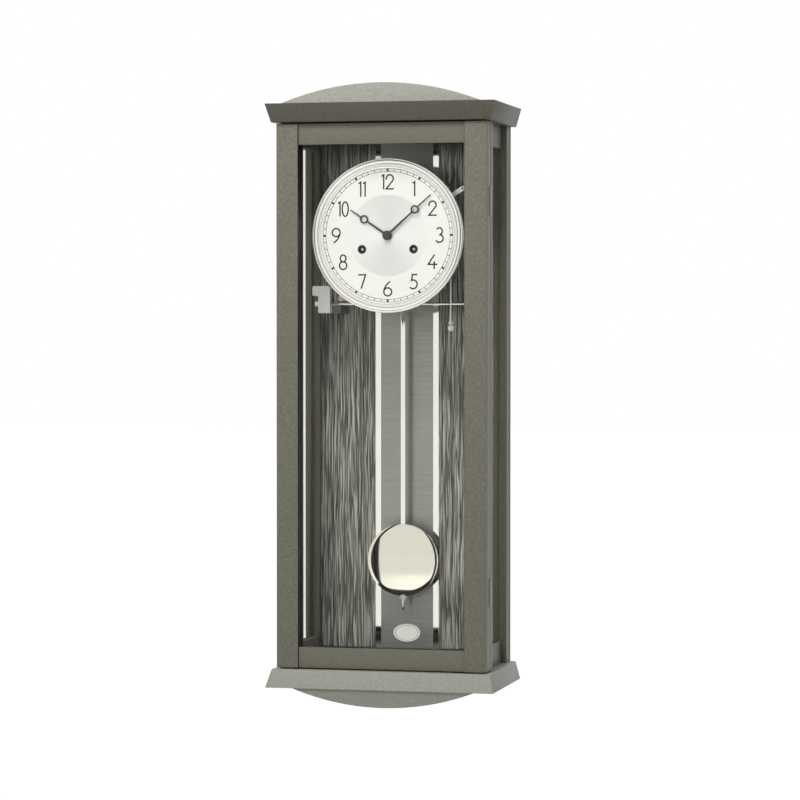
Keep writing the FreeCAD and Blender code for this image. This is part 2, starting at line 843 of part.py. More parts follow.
# Dial plate with its feet, eyelets and bezel
winding_places = [going_barrel_place, strike_barrel_place]
foot_places = [(x, z) for x in (-dial_foot_across, dial_foot_across) for z in (-dial_foot_up, dial_foot_up)]
cannon_outer = centre_arbor_radius + running_play + cannon_wall
hour_pipe_bore = cannon_outer + running_play
hour_pipe_outer = hour_pipe_bore + hour_pipe_wall
dial_centre_bore = hour_pipe_outer + dial_centre_play
dial = round_y(centre_place, dial_radius, dial_front, dial_back)
dial = join(dial, *[round_y(place, dial_foot_radius, dial_back, front_plate_front) for place in foot_places])
dial = dial.cut([round_y(centre_place, dial_centre_bore, dial_front, dial_back)]
                + [round_y(place, eyelet_radius, dial_front, dial_back) for place in winding_places])
export("dial_plate", dial)


def eyelet(place):
    ring = round_y(place, eyelet_radius, dial_front - eyelet_height, dial_back)
    return ring.cut(round_y(place, eyelet_bore, dial_front - eyelet_height, dial_back))


export("winding_eyelets", *[eyelet(place) for place in winding_places])

bezel_front = dial_front - bezel_height
bezel_back = dial_back + bezel_skirt
step_front = dial_front - bezel_step_height
step_outer = bezel_inner_radius + bezel_step_width
groove_outer = step_outer + bezel_groove_width
groove_floor = dial_front - bezel_groove_height
crown_middle = (groove_outer + bezel_radius) / 2


def bezel_point(radius, y):
    return FreeCAD.Vector(radius, y, 0)


bezel_line = [bezel_point(step_outer, step_front), bezel_point(step_outer, groove_floor),
              bezel_point(groove_outer, groove_floor), bezel_point(groove_outer, step_front)]
bezel_rim = [bezel_point(bezel_radius, step_front), bezel_point(bezel_radius, bezel_back),
             bezel_point(skirt_inner, bezel_back), bezel_point(skirt_inner, dial_front),
             bezel_point(bezel_inner_radius, dial_front), bezel_point(bezel_inner_radius, step_front)]
bezel_edges = [Part.makeLine(a, b) for a, b in zip(bezel_line, bezel_line[1:])]
bezel_edges.append(Part.Arc(bezel_line[-1], bezel_point(crown_middle, bezel_front), bezel_rim[0]).toShape())
bezel_edges += [Part.makeLine(a, b) for a, b in zip(bezel_rim, bezel_rim[1:])]
bezel_edges.append(Part.makeLine(bezel_rim[-1], bezel_line[0]))
bezel_face = Part.Face(Part.Wire(bezel_edges))
export("dial_bezel", bezel_face.revolve(FreeCAD.Vector(0, 0, 0), FreeCAD.Vector(0, 1, 0), 360))


# Hands: a tapering blade with a ring along it and a round hub
def hand(length, ring_distance, angle, bore, y0, y1):
    half_root = hand_root_width / 2
    half_tip = hand_tip_width / 2
    blade = [(-half_root, 0), (half_root, 0), (half_tip, length), (-half_tip, length)]
    ring_place = turned([(0, ring_distance)], angle)[0]
    body = join(slab(turned(blade, angle), y0, y1), round_y(centre_place, hand_hub_radius, y0, y1),
                round_y(ring_place, hand_ring_radius, y0, y1))
    return body.cut([round_y(ring_place, hand_ring_bore, y0, y1), round_y(centre_place, bore, y0, y1)])


nut_front = minute_hand_front - hand_nut_height
pipe_front = minute_hand_front - hand_nut_height / 2
hand_nut = round_y(centre_place, hand_nut_radius, nut_front, minute_hand_front)
hand_nut = hand_nut.cut(round_y(centre_place, cannon_seat_radius, pipe_front, minute_hand_front))
export("minute_hand", hand(minute_hand_length, minute_ring_distance, math.radians(minute_hand_angle),
                           cannon_seat_radius, minute_hand_front, minute_hand_back), hand_nut)
export("hour_hand", hand(hour_hand_length, hour_ring_distance, math.radians(hour_hand_angle),
                         hour_pipe_outer, hour_hand_front, hour_hand_back))

# Motion work: cannon pinion, minute wheel with its pinion, hour wheel with its pipe
cannon_phase = 0.0
minute_phase = meshed_phase(centre_place, cannon_teeth, cannon_phase, minute_place, minute_wheel_teeth)
minute_pinion_phase = 0.0
hour_phase = meshed_phase(minute_place, minute_pinion_teeth, minute_pinion_phase, centre_place,
                          hour_wheel_teeth)
cannon_back = motion_back + pinion_overlap
cannon = gear(cannon_teeth, motion_module, centre_place, cannon_phase, motion_front - pinion_overlap,
              cannon_back)
cannon = join(cannon, round_y(centre_place, cannon_outer, minute_hand_back, motion_front),
              round_y(centre_place, cannon_seat_radius, pipe_front, minute_hand_back))
cannon = cannon.cut(round_y(centre_place, centre_arbor_radius + running_play, minute_hand_back, cannon_back))
export("cannon_pinion", cannon)

minute_bore = round_y(minute_place, minute_stud_radius + running_play, hour_wheel_front - pinion_overlap,
                      motion_back)
minute_wheel = join(crossed_gear(minute_wheel_teeth, motion_module, minute_place, minute_phase,
                                 motion_front, motion_back),
                    gear(minute_pinion_teeth, hour_module, minute_place, minute_pinion_phase,
                         hour_wheel_front - pinion_overlap, motion_front))
export("minute_wheel", minute_wheel.cut(minute_bore))

hour_wheel = join(gear(hour_wheel_teeth, hour_module, centre_place, hour_phase, hour_wheel_front,
                       hour_wheel_back),
                  round_y(centre_place, hour_pipe_outer, hour_hand_front, hour_wheel_front))
export("hour_wheel", hour_wheel.cut(round_y(centre_place, hour_pipe_bore, hour_hand_front, hour_wheel_back)))


# Barrels with their great wheels, and the winding arbors inside them
def barrel(place, phase):
    inside = round_y(place, drum_radius - drum_wall, drum_front + drum_wall, great_front)
    drum = round_y(place, drum_radius, drum_front, great_front).cut(inside)
    whole = join(drum, gear(barrel_teeth, barrel_module, place, phase, great_front, great_back))
    return whole.cut(round_y(place, winding_arbor_radius + running_play, drum_front, great_back))


def ratchet_outline(place):
    """Saw-toothed outline; each radial face is in line with the arbor."""
    points = []
    for tooth in range(ratchet_teeth):
        angle = math.pi / 2 + 2 * math.pi * tooth / ratchet_teeth
        for radius in (ratchet_radius, ratchet_root):
            points.append((place[0] + radius * math.cos(angle), place[1] + radius * math.sin(angle)))
    return points


ratchet_back = front_plate_front - ratchet_plate_gap
ratchet_front = ratchet_back - ratchet_thickness
square_front = dial_front + winding_square_setback


def winding_arbor(place):
    half = winding_square / 2
    square = box(place[0] - half, place[0] + half, square_front, ratchet_front, place[1] - half,
                 place[1] + half)
    shaft = round_y(place, winding_arbor_radius, ratchet_front, back_plate_back)
    core = round_y(place, spring_core_radius, drum_front + drum_wall + core_end_gap,
                   great_front - core_end_gap)
    return join(shaft, square, core, slab(ratchet_outline(place), ratchet_front, ratchet_back))


def click(place):
    """Click resting in a ratchet gap, turning on a stud that stands on the front plate."""
    stud_place = (place[0] - click_stud_across, place[1] + click_stud_up)
    nose_low = ratchet_root + click_root_gap
    nose_high = ratchet_radius + click_nose_rise
    lever = [(-click_nose_gap, nose_low), (-click_nose_gap, nose_high),
             (-click_stud_across, click_stud_up + click_stud_radius),
             (-click_stud_across, click_stud_up - click_stud_radius),
             (-click_nose_length, ratchet_radius + click_nose_gap)]
    bar = slab(turned(lever, 0, place), ratchet_front, ratchet_back)
    boss = round_y(stud_place, click_stud_radius, ratchet_front, ratchet_back)
    stud = round_y(stud_place, click_stud_radius / 2, ratchet_front, front_plate_front)
    return join(bar, boss, stud)


going_phase = 0.0
strike_phase = 0.0
export("going_barrel", barrel(going_barrel_place, going_phase))
export("strike_barrel", barrel(strike_barrel_place, strike_phase))
export("going_winding_arbor", winding_arbor(going_barrel_place))
export("strike_winding_arbor", winding_arbor(strike_barrel_place))
export("ratchet_clicks", click(going_barrel_place), click(strike_barrel_place))

# Going train
intermediate_pinion_phase = meshed_phase(going_barrel_place, barrel_teeth, going_phase, intermediate_place,
                                         barrel_pinion_teeth)
export("intermediate_wheel", join(
    arbor(intermediate_place),
    gear(barrel_pinion_teeth, barrel_module, intermediate_place, intermediate_pinion_phase,
         great_front - pinion_overlap, great_back + pinion_overlap),
    crossed_gear(intermediate_teeth, intermediate_module, intermediate_place, 0.0, intermediate_front,
                 intermediate_back)))

centre_pinion_phase = meshed_phase(intermediate_place, intermediate_teeth, 0.0, centre_place,
                                   centre_pinion_teeth)
centre_shaft = round_y(centre_place, centre_arbor_radius, minute_hand_back + hand_thickness,
                       back_plate_front - end_shake)
export("centre_wheel", join(
    centre_shaft, round_y(centre_place, pivot_radius, back_plate_front - end_shake, back_plate_back),
    gear(centre_pinion_teeth, intermediate_module, centre_place, centre_pinion_phase,
         intermediate_front - pinion_overlap, intermediate_back + pinion_overlap),
    crossed_gear(centre_teeth, centre_module, centre_place, 0.0, centre_front, centre_back)))

third_pinion_phase = meshed_phase(centre_place, centre_teeth, 0.0, third_place, third_pinion_teeth)
export("third_wheel", join(
    arbor(third_place),
    gear(third_pinion_teeth, centre_module, third_place, third_pinion_phase, centre_front - pinion_overlap,
         centre_back + pinion_overlap),
    crossed_gear(third_teeth, third_module, third_place, 0.0, third_front, third_back)))


def escape_outline():
    """Pointed teeth: a steep face and a sloping back."""
    points = []
    root = escape_radius - escape_tooth_depth
    step = 2 * math.pi / escape_teeth
    for tooth in range(escape_teeth):
        for radius, share in zip((root, escape_radius, escape_radius, root), escape_tooth_shares):
            angle = (tooth + share) * step
            points.append((escape_place[0] + radius * math.cos(angle),
                           escape_place[1] + radius * math.sin(angle)))
    return points


escape_pinion_phase = meshed_phase(third_place, third_teeth, 0.0, escape_place, escape_pinion_teeth)
escape_disc = spoked(slab(escape_outline(), escape_front, escape_back), escape_place, wheel_hub_radius,
                     escape_radius - escape_tooth_depth - rim_width / 2, escape_front, escape_back)
export("escape_wheel", join(
    arbor(escape_place), escape_disc,
    gear(escape_pinion_teeth, third_module, escape_place, escape_pinion_phase, third_front - pinion_overlap,
         third_back + pinion_overlap)))


# Anchor over the escape wheel, with its crutch behind the back plate
def anchor_yoke():
    inner = escape_radius + anchor_clearance
    outer = inner + anchor_width
    half_span = math.radians(anchor_half_span)
    reach = 2 * outer
    wedge = [(0, 0)] + [(reach * math.sin(t), reach * math.cos(t)) for t in (-half_span, 0, half_span)]
    ring = round_y(escape_place, outer, escape_front, escape_back).cut(
        round_y(escape_place, inner, escape_front, escape_back))
    return ring.common(slab(turned(wedge, 0, escape_place), escape_front, escape_back))


crutch_front = back_plate_back + crutch_plate_gap
crutch_back = crutch_front + crutch_thickness
fork_top = swing_height - crutch_length + fork_height
fork_bottom = swing_height - crutch_length
rod_front = pendulum_y - rod_thickness / 2
rod_back = pendulum_y + rod_thickness / 2
fork = box(-fork_half_width, fork_half_width, crutch_front, rod_back + fork_reach, fork_bottom, fork_top)
fork = fork.cut(box(-rod_width / 2 - fork_play, rod_width / 2 + fork_play, rod_front - 2 * fork_play,
                    rod_back + fork_reach, fork_bottom, fork_top))
crutch = join(box(-crutch_width / 2, crutch_width / 2, crutch_front, crutch_back, fork_bottom, swing_height),
              round_y(anchor_place, anchor_hub_radius, crutch_front, crutch_back), fork)
anchor_arbor = join(
    round_y(anchor_place, arbor_radius, front_plate_back + end_shake, crutch_back),
    round_y(anchor_place, pivot_radius, front_plate_front, front_plate_back + end_shake))
export("pallet_anchor", join(anchor_arbor, anchor_yoke(),
                             round_y(anchor_place, anchor_hub_radius, escape_front, escape_back), crutch))

# Strike train
pin_pinion_phase = meshed_phase(strike_barrel_place, barrel_teeth, strike_phase, pin_place,
                                barrel_pinion_teeth)
pin_wheel = join(
    arbor(pin_place),
    gear(barrel_pinion_teeth, barrel_module, pin_place, pin_pinion_phase, great_front - pinion_overlap,
         great_back + pinion_overlap),
    gear(pin_wheel_teeth, pin_module, pin_place, 0.0, intermediate_front, intermediate_back))
lift_back = intermediate_back + lift_pin_length
for pin in range(lift_pin_count):
    pin_spot = turned([(0, lift_pin_circle)], 2 * math.pi * pin / lift_pin_count, pin_place)[0]
    pin_wheel = pin_wheel.fuse(round_y(pin_spot, lift_pin_radius, intermediate_back, lift_back))
export("pin_wheel", pin_wheel)

gathering_back = great_front - gathering_gap
gathering_front = gathering_back - thin_wheel_thickness
gathering_pinion_phase = meshed_phase(pin_place, pin_wheel_teeth, 0.0, gathering_place,
                                      gathering_pinion_teeth)
export("gathering_wheel", join(
    arbor(gathering_place),
    gear(gathering_pinion_teeth, pin_module, gathering_place, gathering_pinion_phase,
         intermediate_front - pinion_overlap, intermediate_back + pinion_overlap),
    crossed_gear(gathering_teeth, gathering_module, gathering_place, 0.0, gathering_front, gathering_back)))

fly_pinion_phase = meshed_phase(gathering_place, gathering_teeth, 0.0, fly_place, fly_pinion_teeth)
fly_back = gathering_front - fly_gap
fly_vane = box(fly_place[0] - fly_half_width, fly_place[0] + fly_half_width, fly_back - fly_length, fly_back,
               fly_place[1] - fly_thickness / 2, fly_place[1] + fly_thickness / 2)
export("strike_fly", join(
    arbor(fly_place), fly_vane,
    gear(fly_pinion_teeth, gathering_module, fly_place, fly_pinion_phase, gathering_front - pinion_overlap,
         gathering_back + pinion_overlap)))

# Hammer on its arbor, with a lifting tail beside the pin wheel
hammer_foot = -gong_drop + gong_rod_radius + hammer_gap
hammer_top = hammer_foot + hammer_head_height
arm_front = gong_y - hammer_arm_thickness / 2
arm_back = gong_y + hammer_arm_thickness / 2
arm_run = (-hammer_head_across - hammer_place[0], hammer_top - hammer_head_height / 2 - hammer_place[1])
arm_length = math.hypot(*arm_run)
arm_turn = math.atan2(arm_run[0], arm_run[1])
half_arm = hammer_arm_width / 2
arm_bar = [(-half_arm, 0), (half_arm, 0), (half_arm, arm_length), (-half_arm, arm_length)]
tail_bar = [(-half_arm, 0), (half_arm, 0), (half_arm, hammer_tail_length), (-half_arm, hammer_tail_length)]
tail_back = lift_back
tail_front = tail_back - hammer_arm_thickness
export("hammer", join(
    arbor(hammer_place), slab(turned(arm_bar, arm_turn, hammer_place), arm_front, arm_back),
    slab(turned(tail_bar, 0, hammer_place), tail_front, tail_back),
    round_z(-hammer_head_across, gong_y, hammer_head_radius, hammer_foot, hammer_top)))

# Gong block with its wall foot, and the gong rod
block_bottom = -gong_drop - gong_block_below
block_front = gong_y - gong_block_thickness / 2
block_back = gong_y + gong_block_thickness / 2
block_top = block_bottom + gong_block_height
rod_left = gong_block_left + gong_notch - gong_collar_length


def rounded_block(x0, z0):
    """Block up to the top right corner of the gong block, with its four corners rounded."""
    block = box(x0, gong_block_right, block_front, block_back, z0, block_top)
    corners = [edge for edge in block.Edges if abs(edge.tangentAt(0).y) > 0.5]
    return block.makeFillet(gong_corner_radius, corners)


gong_lobe = rounded_block(gong_block_left, block_top - gong_lobe_height)
gong_body = rounded_block(gong_block_left + gong_notch, block_bottom)
gong_collar = round_x(gong_y, -gong_drop, gong_collar_radius, rod_left,
                      gong_block_left + gong_notch + gong_corner_radius)
gong_arm_right = gong_block_right + gong_arm_overhang
gong_arm = box(gong_arm_right - gong_arm_width, gong_arm_right, block_back - gong_block_thickness / 2,
               slate_front, block_bottom, block_bottom + gong_arm_height)
gong_foot = box(gong_block_left + gong_notch, gong_arm_right, slate_front - gong_foot_thickness, slate_front,
                block_bottom, block_bottom + gong_arm_height)
rod_seat = round_x(gong_y, -gong_drop, gong_rod_radius, rod_left, gong_block_right)
gong_arm = gong_arm.cut(box(gong_block_right, gong_arm_right, block_front, block_back,
                            block_bottom, block_top))
export("gong_block", join(gong_lobe, gong_body, gong_arm, gong_foot, gong_collar).cut(rod_seat))
export("gong_rod", round_x(gong_y, -gong_drop, gong_rod_radius, rod_left, rail_inner - gong_rod_end_gap))

# Strike-silent lever on its stud
lever_back = front_plate_front - lever_plate_gap
lever_front = lever_back - lever_thickness
lever_end = (lever_reach * lever_direction[0], lever_reach * lever_direction[1])
lever_turn = math.radians(90 - lever_angle)
lever_half = lever_width / 2
lever_bar = [(-lever_half, lever_pivot_reach), (lever_half, lever_pivot_reach), (lever_half, lever_reach),
             (-lever_half, lever_reach)]
lever = join(slab(turned(lever_bar, lever_turn), lever_front, lever_back),
             round_y(lever_place, lever_half + lever_stud_radius, lever_front, lever_back),
             round_y(lever_end, lever_half, lever_front, lever_back))
export("silent_lever", lever.cut([
    round_y(lever_place, lever_stud_radius + running_play, lever_front, lever_back),
    round_y(lever_end, lever_end_hole_radius, lever_front, lever_back)]))

# Pull wire with its two collars and the bulb at its end
wire_y = front_plate_back + wire_setback
guide_top = -wire_guide_drop + wire_guide_thickness / 2
guide_bottom = -wire_guide_drop - wire_guide_thickness / 2
upper_collar = guide_top + wire_travel + end_shake
wire_top = upper_collar + wire_collar_height
bulb_top = -bulb_drop + bulb_height
bulb_low = -bulb_drop + bulb_radius
bulb_high = bulb_top - bulb_radius
cap_foot = bulb_top + bulb_neck_height
cap_top = cap_foot + bulb_cap_height
export("pull_wire", join(
    round_z(wire_across, wire_y, wire_radius, cap_foot, wire_top),
    round_z(wire_across, wire_y, wire_collar_radius, upper_collar, wire_top),
    round_z(wire_across, wire_y, wire_collar_radius, guide_bottom - wire_collar_height, guide_bottom),
    round_z(wire_across, wire_y, bulb_cap_radius, cap_foot, cap_top),
    round_z(wire_across, wire_y, bulb_neck_radius, bulb_high, cap_foot),
    round_z(wire_across, wire_y, bulb_radius, bulb_low, bulb_high),
    Part.makeSphere(bulb_radius, FreeCAD.Vector(wire_across, wire_y, bulb_low)),
    Part.makeSphere(bulb_radius, FreeCAD.Vector(wire_across, wire_y, bulb_high))))



# Movement plates, drilled for every arbor, with the studs and the wire guide on the front one
def plate(y0, y1):
    """Plate with its two upper corners cut off."""
    corner_x = plate_half_width - plate_corner
    corner_z = plate_up - plate_corner
    return slab([(-plate_half_width, -plate_down), (plate_half_width, -plate_down),
                 (plate_half_width, corner_z), (corner_x, plate_up), (-corner_x, plate_up),
                 (-plate_half_width, corner_z)], y0, y1)


train_places = [intermediate_place, third_place, escape_place, pin_place, gathering_place, fly_place,
                hammer_place]
pivot_bore = pivot_radius + running_play
winding_bore = winding_arbor_radius + running_play
front_holes = [round_y(place, pivot_bore, front_plate_front, front_plate_back)
               for place in train_places + [anchor_place]]
front_holes += [round_y(place, winding_bore, front_plate_front, front_plate_back) for place in winding_places]
front_holes.append(round_y(centre_place, centre_arbor_radius + running_play, front_plate_front,
                           front_plate_back))
guide_left = plate_half_width - wire_guide_width
guide_right = wire_across + wire_guide_width / 2
guide_strip = box(guide_left, guide_right, front_plate_front, front_plate_back,
                  guide_bottom - wire_guide_width, guide_top)
guide_shelf = box(wire_across - wire_guide_width / 2, guide_right, front_plate_front,
                  wire_y + wire_guide_width / 2, guide_bottom, guide_top)
guide_bore = round_z(wire_across, wire_y, wire_radius + running_play, guide_bottom, guide_top)
minute_stud = round_y(minute_place, minute_stud_radius, hour_wheel_front - pinion_overlap, front_plate_front)
lever_stud = round_y(lever_place, lever_stud_radius, lever_front - running_play, front_plate_front)
lever_head = round_y(lever_place, lever_head_radius, lever_front - running_play - lever_head_height,
                     lever_front - running_play)
front_plate = join(plate(front_plate_front, front_plate_back), guide_strip, guide_shelf, minute_stud,
                   lever_stud, lever_head)
export("movement_front_plate", front_plate.cut(front_holes + [guide_bore]))

back_holes = [round_y(place, pivot_bore, back_plate_front, back_plate_back)
              for place in train_places + [centre_place]]
back_holes += [round_y(place, winding_bore, back_plate_front, back_plate_back) for place in winding_places]
back_holes.append(round_y(anchor_place, arbor_radius + running_play, back_plate_front, back_plate_back))
export("movement_back_plate", plate(back_plate_front, back_plate_back).cut(back_holes))

pillar_places = [(-top_pillar_across, top_pillar_up), (top_pillar_across, top_pillar_up),
                 (-bottom_pillar_across, -bottom_pillar_down), (bottom_pillar_across, -bottom_pillar_down)]
export("movement_pillars", *[round_y(place, pillar_radius, front_plate_back, back_plate_front)
                             for place in pillar_places])


# Brackets that carry the movement from the back board
def bracket(place):
    x, z = place
    arm = box(x - bracket_arm_thickness / 2, x + bracket_arm_thickness / 2, back_plate_back, slate_front,
              z - bracket_arm_width / 2, z + bracket_arm_width / 2)
    foot = box(x - bracket_foot_width / 2, x + bracket_foot_width / 2, bracket_foot_front, slate_front,
               z - bracket_foot_height / 2, z + bracket_foot_height / 2)
    return join(arm, foot).cut(screws)


export("movement_brackets", *[bracket(place) for place in bracket_places])

# Suspension cock behind the back plate, with two cheeks for the suspension pin
chop_front = pendulum_y - chop_thickness / 2
chop_back = pendulum_y + chop_thickness / 2
cheek_front = chop_front - cock_cheek_gap - cock_cheek_thickness
cheek_back = chop_back + cock_cheek_gap + cock_cheek_thickness
arm_bottom = swing_height + cock_rise
arm_top = arm_bottom + cock_arm_height
cheek_foot = swing_height - cock_cheek_drop
cheek_half = cock_cheek_width / 2
cock_foot = box(-cock_width / 2, cock_width / 2, back_plate_back, back_plate_back + plate_thickness,
                arm_top - cock_foot_height, arm_top)
cock_foot = cock_foot.cut(round_y(anchor_place, cock_clear_radius, back_plate_back, cheek_front))
cock_arm = box(-cheek_half, cheek_half, back_plate_back, cheek_back, arm_bottom, arm_top)
cheeks = [box(-cheek_half, cheek_half, front, front + cock_cheek_thickness, cheek_foot, arm_bottom)
          for front in (cheek_front, cheek_back - cock_cheek_thickness)]
pin_bore = round_y(anchor_place, suspension_pin_radius + running_play, cheek_front, cheek_back)
export("suspension_cock", join(cock_foot, cock_arm, *cheeks).cut(pin_bore))

# Suspension spring: pin, upper chop, two strips and the lower chop
upper_chop_top = swing_height + chop_height / 2
upper_chop_foot = swing_height - chop_height / 2
lower_chop_foot = swing_height - suspension_span
lower_chop_top = lower_chop_foot + chop_height
chop_half = chop_width / 2
strips = [box(side * chop_half, side * (chop_half - spring_strip_width),
              pendulum_y - spring_strip_thickness / 2, pendulum_y + spring_strip_thickness / 2,
              lower_chop_top, upper_chop_foot) for side in (-1, 1)]
export("suspension_spring", join(
    box(-chop_half, chop_half, chop_front, chop_back, upper_chop_foot, upper_chop_top),
    box(-chop_half, chop_half, chop_front, chop_back, lower_chop_foot, lower_chop_top),
    round_y(anchor_place, suspension_pin_radius, cheek_front, cheek_back), *strips))

# Pendulum rod with its slot and threaded end, the bob and the rating nut
rod_foot = bob_bottom + rating_stud_grip
slot_middle = swing_height - rod_slot_drop
rod = join(box(-rod_width / 2, rod_width / 2, rod_front, rod_back, rod_foot, lower_chop_foot),
           round_z(0, pendulum_y, rating_stud_radius, tip_height, rod_foot))
export("pendulum_rod", rod.cut(box(-rod_slot_width / 2, rod_slot_width / 2, rod_front, rod_back,
                                   slot_middle - rod_slot_height / 2, slot_middle + rod_slot_height / 2)))


def bob_point(radius, depth):
    return FreeCAD.Vector(radius, pendulum_y + depth, bob_height)


# Each side of the bob is a shallow dome with a rounder shoulder that runs into it without a break
dome_radius = (bob_shoulder_radius ** 2 + bob_shoulder_drop ** 2) / (2 * bob_shoulder_drop)
shoulder_lean = math.asin(bob_shoulder_radius / dome_radius)
edge_centre_radius = bob_shoulder_radius - bob_edge_radius * math.sin(shoulder_lean)
edge_lean = math.asin((bob_radius - edge_centre_radius) / bob_edge_radius)
edge_centre_depth = bob_edge_radius * math.cos(shoulder_lean) + bob_shoulder_drop - bob_thickness / 2


def dome_point(lean, side):
    return bob_point(dome_radius * math.sin(lean),
                     side * (bob_thickness / 2 - dome_radius * (1 - math.cos(lean))))


def edge_point(lean, side):
    return bob_point(edge_centre_radius + bob_edge_radius * math.sin(lean),
                     side * (bob_edge_radius * math.cos(lean) - edge_centre_depth))


lens_edges = [Part.makeLine(dome_point(0, 1), dome_point(0, -1)),
              Part.makeLine(edge_point(edge_lean, -1), edge_point(edge_lean, 1))]
for side in (-1, 1):
    lens_edges.append(Part.Arc(dome_point(0, side), dome_point(shoulder_lean / 2, side),
                               dome_point(shoulder_lean, side)).toShape())
    lens_edges.append(Part.Arc(edge_point(shoulder_lean, side),
                               edge_point((shoulder_lean + edge_lean) / 2, side),
                               edge_point(edge_lean, side)).toShape())
lens_wire = Part.Wire(Part.__sortEdges__(lens_edges))
lens = Part.Face(lens_wire).revolve(bob_point(0, 0), FreeCAD.Vector(0, 1, 0), 360)
rod_way = box(-rod_width / 2 - bob_rod_play, rod_width / 2 + bob_rod_play, rod_front - bob_rod_play,
              rod_back + bob_rod_play, rod_foot, bob_height + 2 * bob_radius)
stud_way = round_z(0, pendulum_y, rating_stud_radius + bob_rod_play, nut_bottom, rod_foot)
export("pendulum_bob", lens.cut([rod_way, stud_way]))

rating_nut = round_z(0, pendulum_y, rating_nut_radius, hub_top, nut_top)
rating_hub = round_z(0, pendulum_y, rating_hub_radius, nut_bottom, hub_top)
flutes = []
for flute in range(rating_nut_flutes):
    turn = 2 * math.pi * flute / rating_nut_flutes
    flutes.append(round_z(rating_nut_radius * math.cos(turn), pendulum_y + rating_nut_radius * math.sin(turn),
                          rating_flute_radius, hub_top, nut_top))
rating_bore = round_z(0, pendulum_y, rating_stud_radius + running_play, nut_bottom, nut_top)
export("rating_nut", join(rating_nut.cut(flutes), rating_hub).cut(rating_bore))
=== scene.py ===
import json
import math

import bmesh
import bpy
import numpy as np
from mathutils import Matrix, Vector


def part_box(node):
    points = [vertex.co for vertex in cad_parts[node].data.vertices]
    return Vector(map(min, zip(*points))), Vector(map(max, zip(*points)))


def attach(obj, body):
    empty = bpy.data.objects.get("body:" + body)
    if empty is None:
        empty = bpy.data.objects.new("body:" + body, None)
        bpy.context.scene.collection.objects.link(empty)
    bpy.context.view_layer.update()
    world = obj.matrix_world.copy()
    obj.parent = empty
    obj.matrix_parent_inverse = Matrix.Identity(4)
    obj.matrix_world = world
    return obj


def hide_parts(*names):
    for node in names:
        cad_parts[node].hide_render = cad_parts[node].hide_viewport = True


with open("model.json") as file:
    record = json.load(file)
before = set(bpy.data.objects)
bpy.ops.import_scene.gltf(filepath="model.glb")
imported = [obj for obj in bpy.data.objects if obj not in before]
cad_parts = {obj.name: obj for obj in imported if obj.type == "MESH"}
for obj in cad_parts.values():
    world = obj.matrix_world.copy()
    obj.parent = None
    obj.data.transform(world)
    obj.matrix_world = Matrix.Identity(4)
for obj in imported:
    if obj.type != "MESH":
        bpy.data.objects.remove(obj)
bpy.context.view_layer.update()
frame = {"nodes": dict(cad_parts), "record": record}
nodes = frame["nodes"]
MM = 0.001


def middle_and_half(box):
    """The middle of a box and half its size, each along x, y and z."""
    low, high = box
    return [(a + b) / 2 for a, b in zip(low, high)], [(b - a) / 2 for a, b in zip(low, high)]


# Places and sizes read from the frame
(dial_x, _, dial_z), (bezel_radius, _, _) = middle_and_half(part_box("dial_bezel"))
bezel_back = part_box("dial_bezel")[1].y
dial_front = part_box("dial_plate")[0].y
slate_low, slate_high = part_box("slate_panels")
strips_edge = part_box("mirror_strips")[1].x
(bob_x, bob_y, bob_z), (bob_radius, bob_half, _) = middle_and_half(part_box("pendulum_bob"))
plaque_middle, plaque_half = middle_and_half(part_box("oval_plaque"))
(arbor_x, _, arbor_z), _ = middle_and_half(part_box("going_winding_arbor"))
block_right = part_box("gong_block")[1].x
sight_half = -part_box("door_left_stile")[1].x
rails_low, rails_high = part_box("door_rails")
rail_height = 23.4 * MM
sight_bottom = rails_low.z + rail_height
sight_top = rails_high.z - rail_height


class Wire:
    """One socket of a node graph. Arithmetic on it adds Math nodes to the graph."""

    def __init__(self, graph, socket):
        self.graph = graph
        self.socket = socket

    def __add__(self, other):
        return self.graph.step("ADD", self, other)

    def __sub__(self, other):
        return self.graph.step("SUBTRACT", self, other)

    def __rsub__(self, other):
        return self.graph.step("SUBTRACT", other, self)

    def __mul__(self, other):
        return self.graph.step("MULTIPLY", self, other)

    def __abs__(self):
        return self.graph.step("ABSOLUTE", self)

    def below(self, other):
        return self.graph.step("LESS_THAN", self, other)

    def above(self, other):
        return self.graph.step("GREATER_THAN", self, other)

    __radd__ = __add__


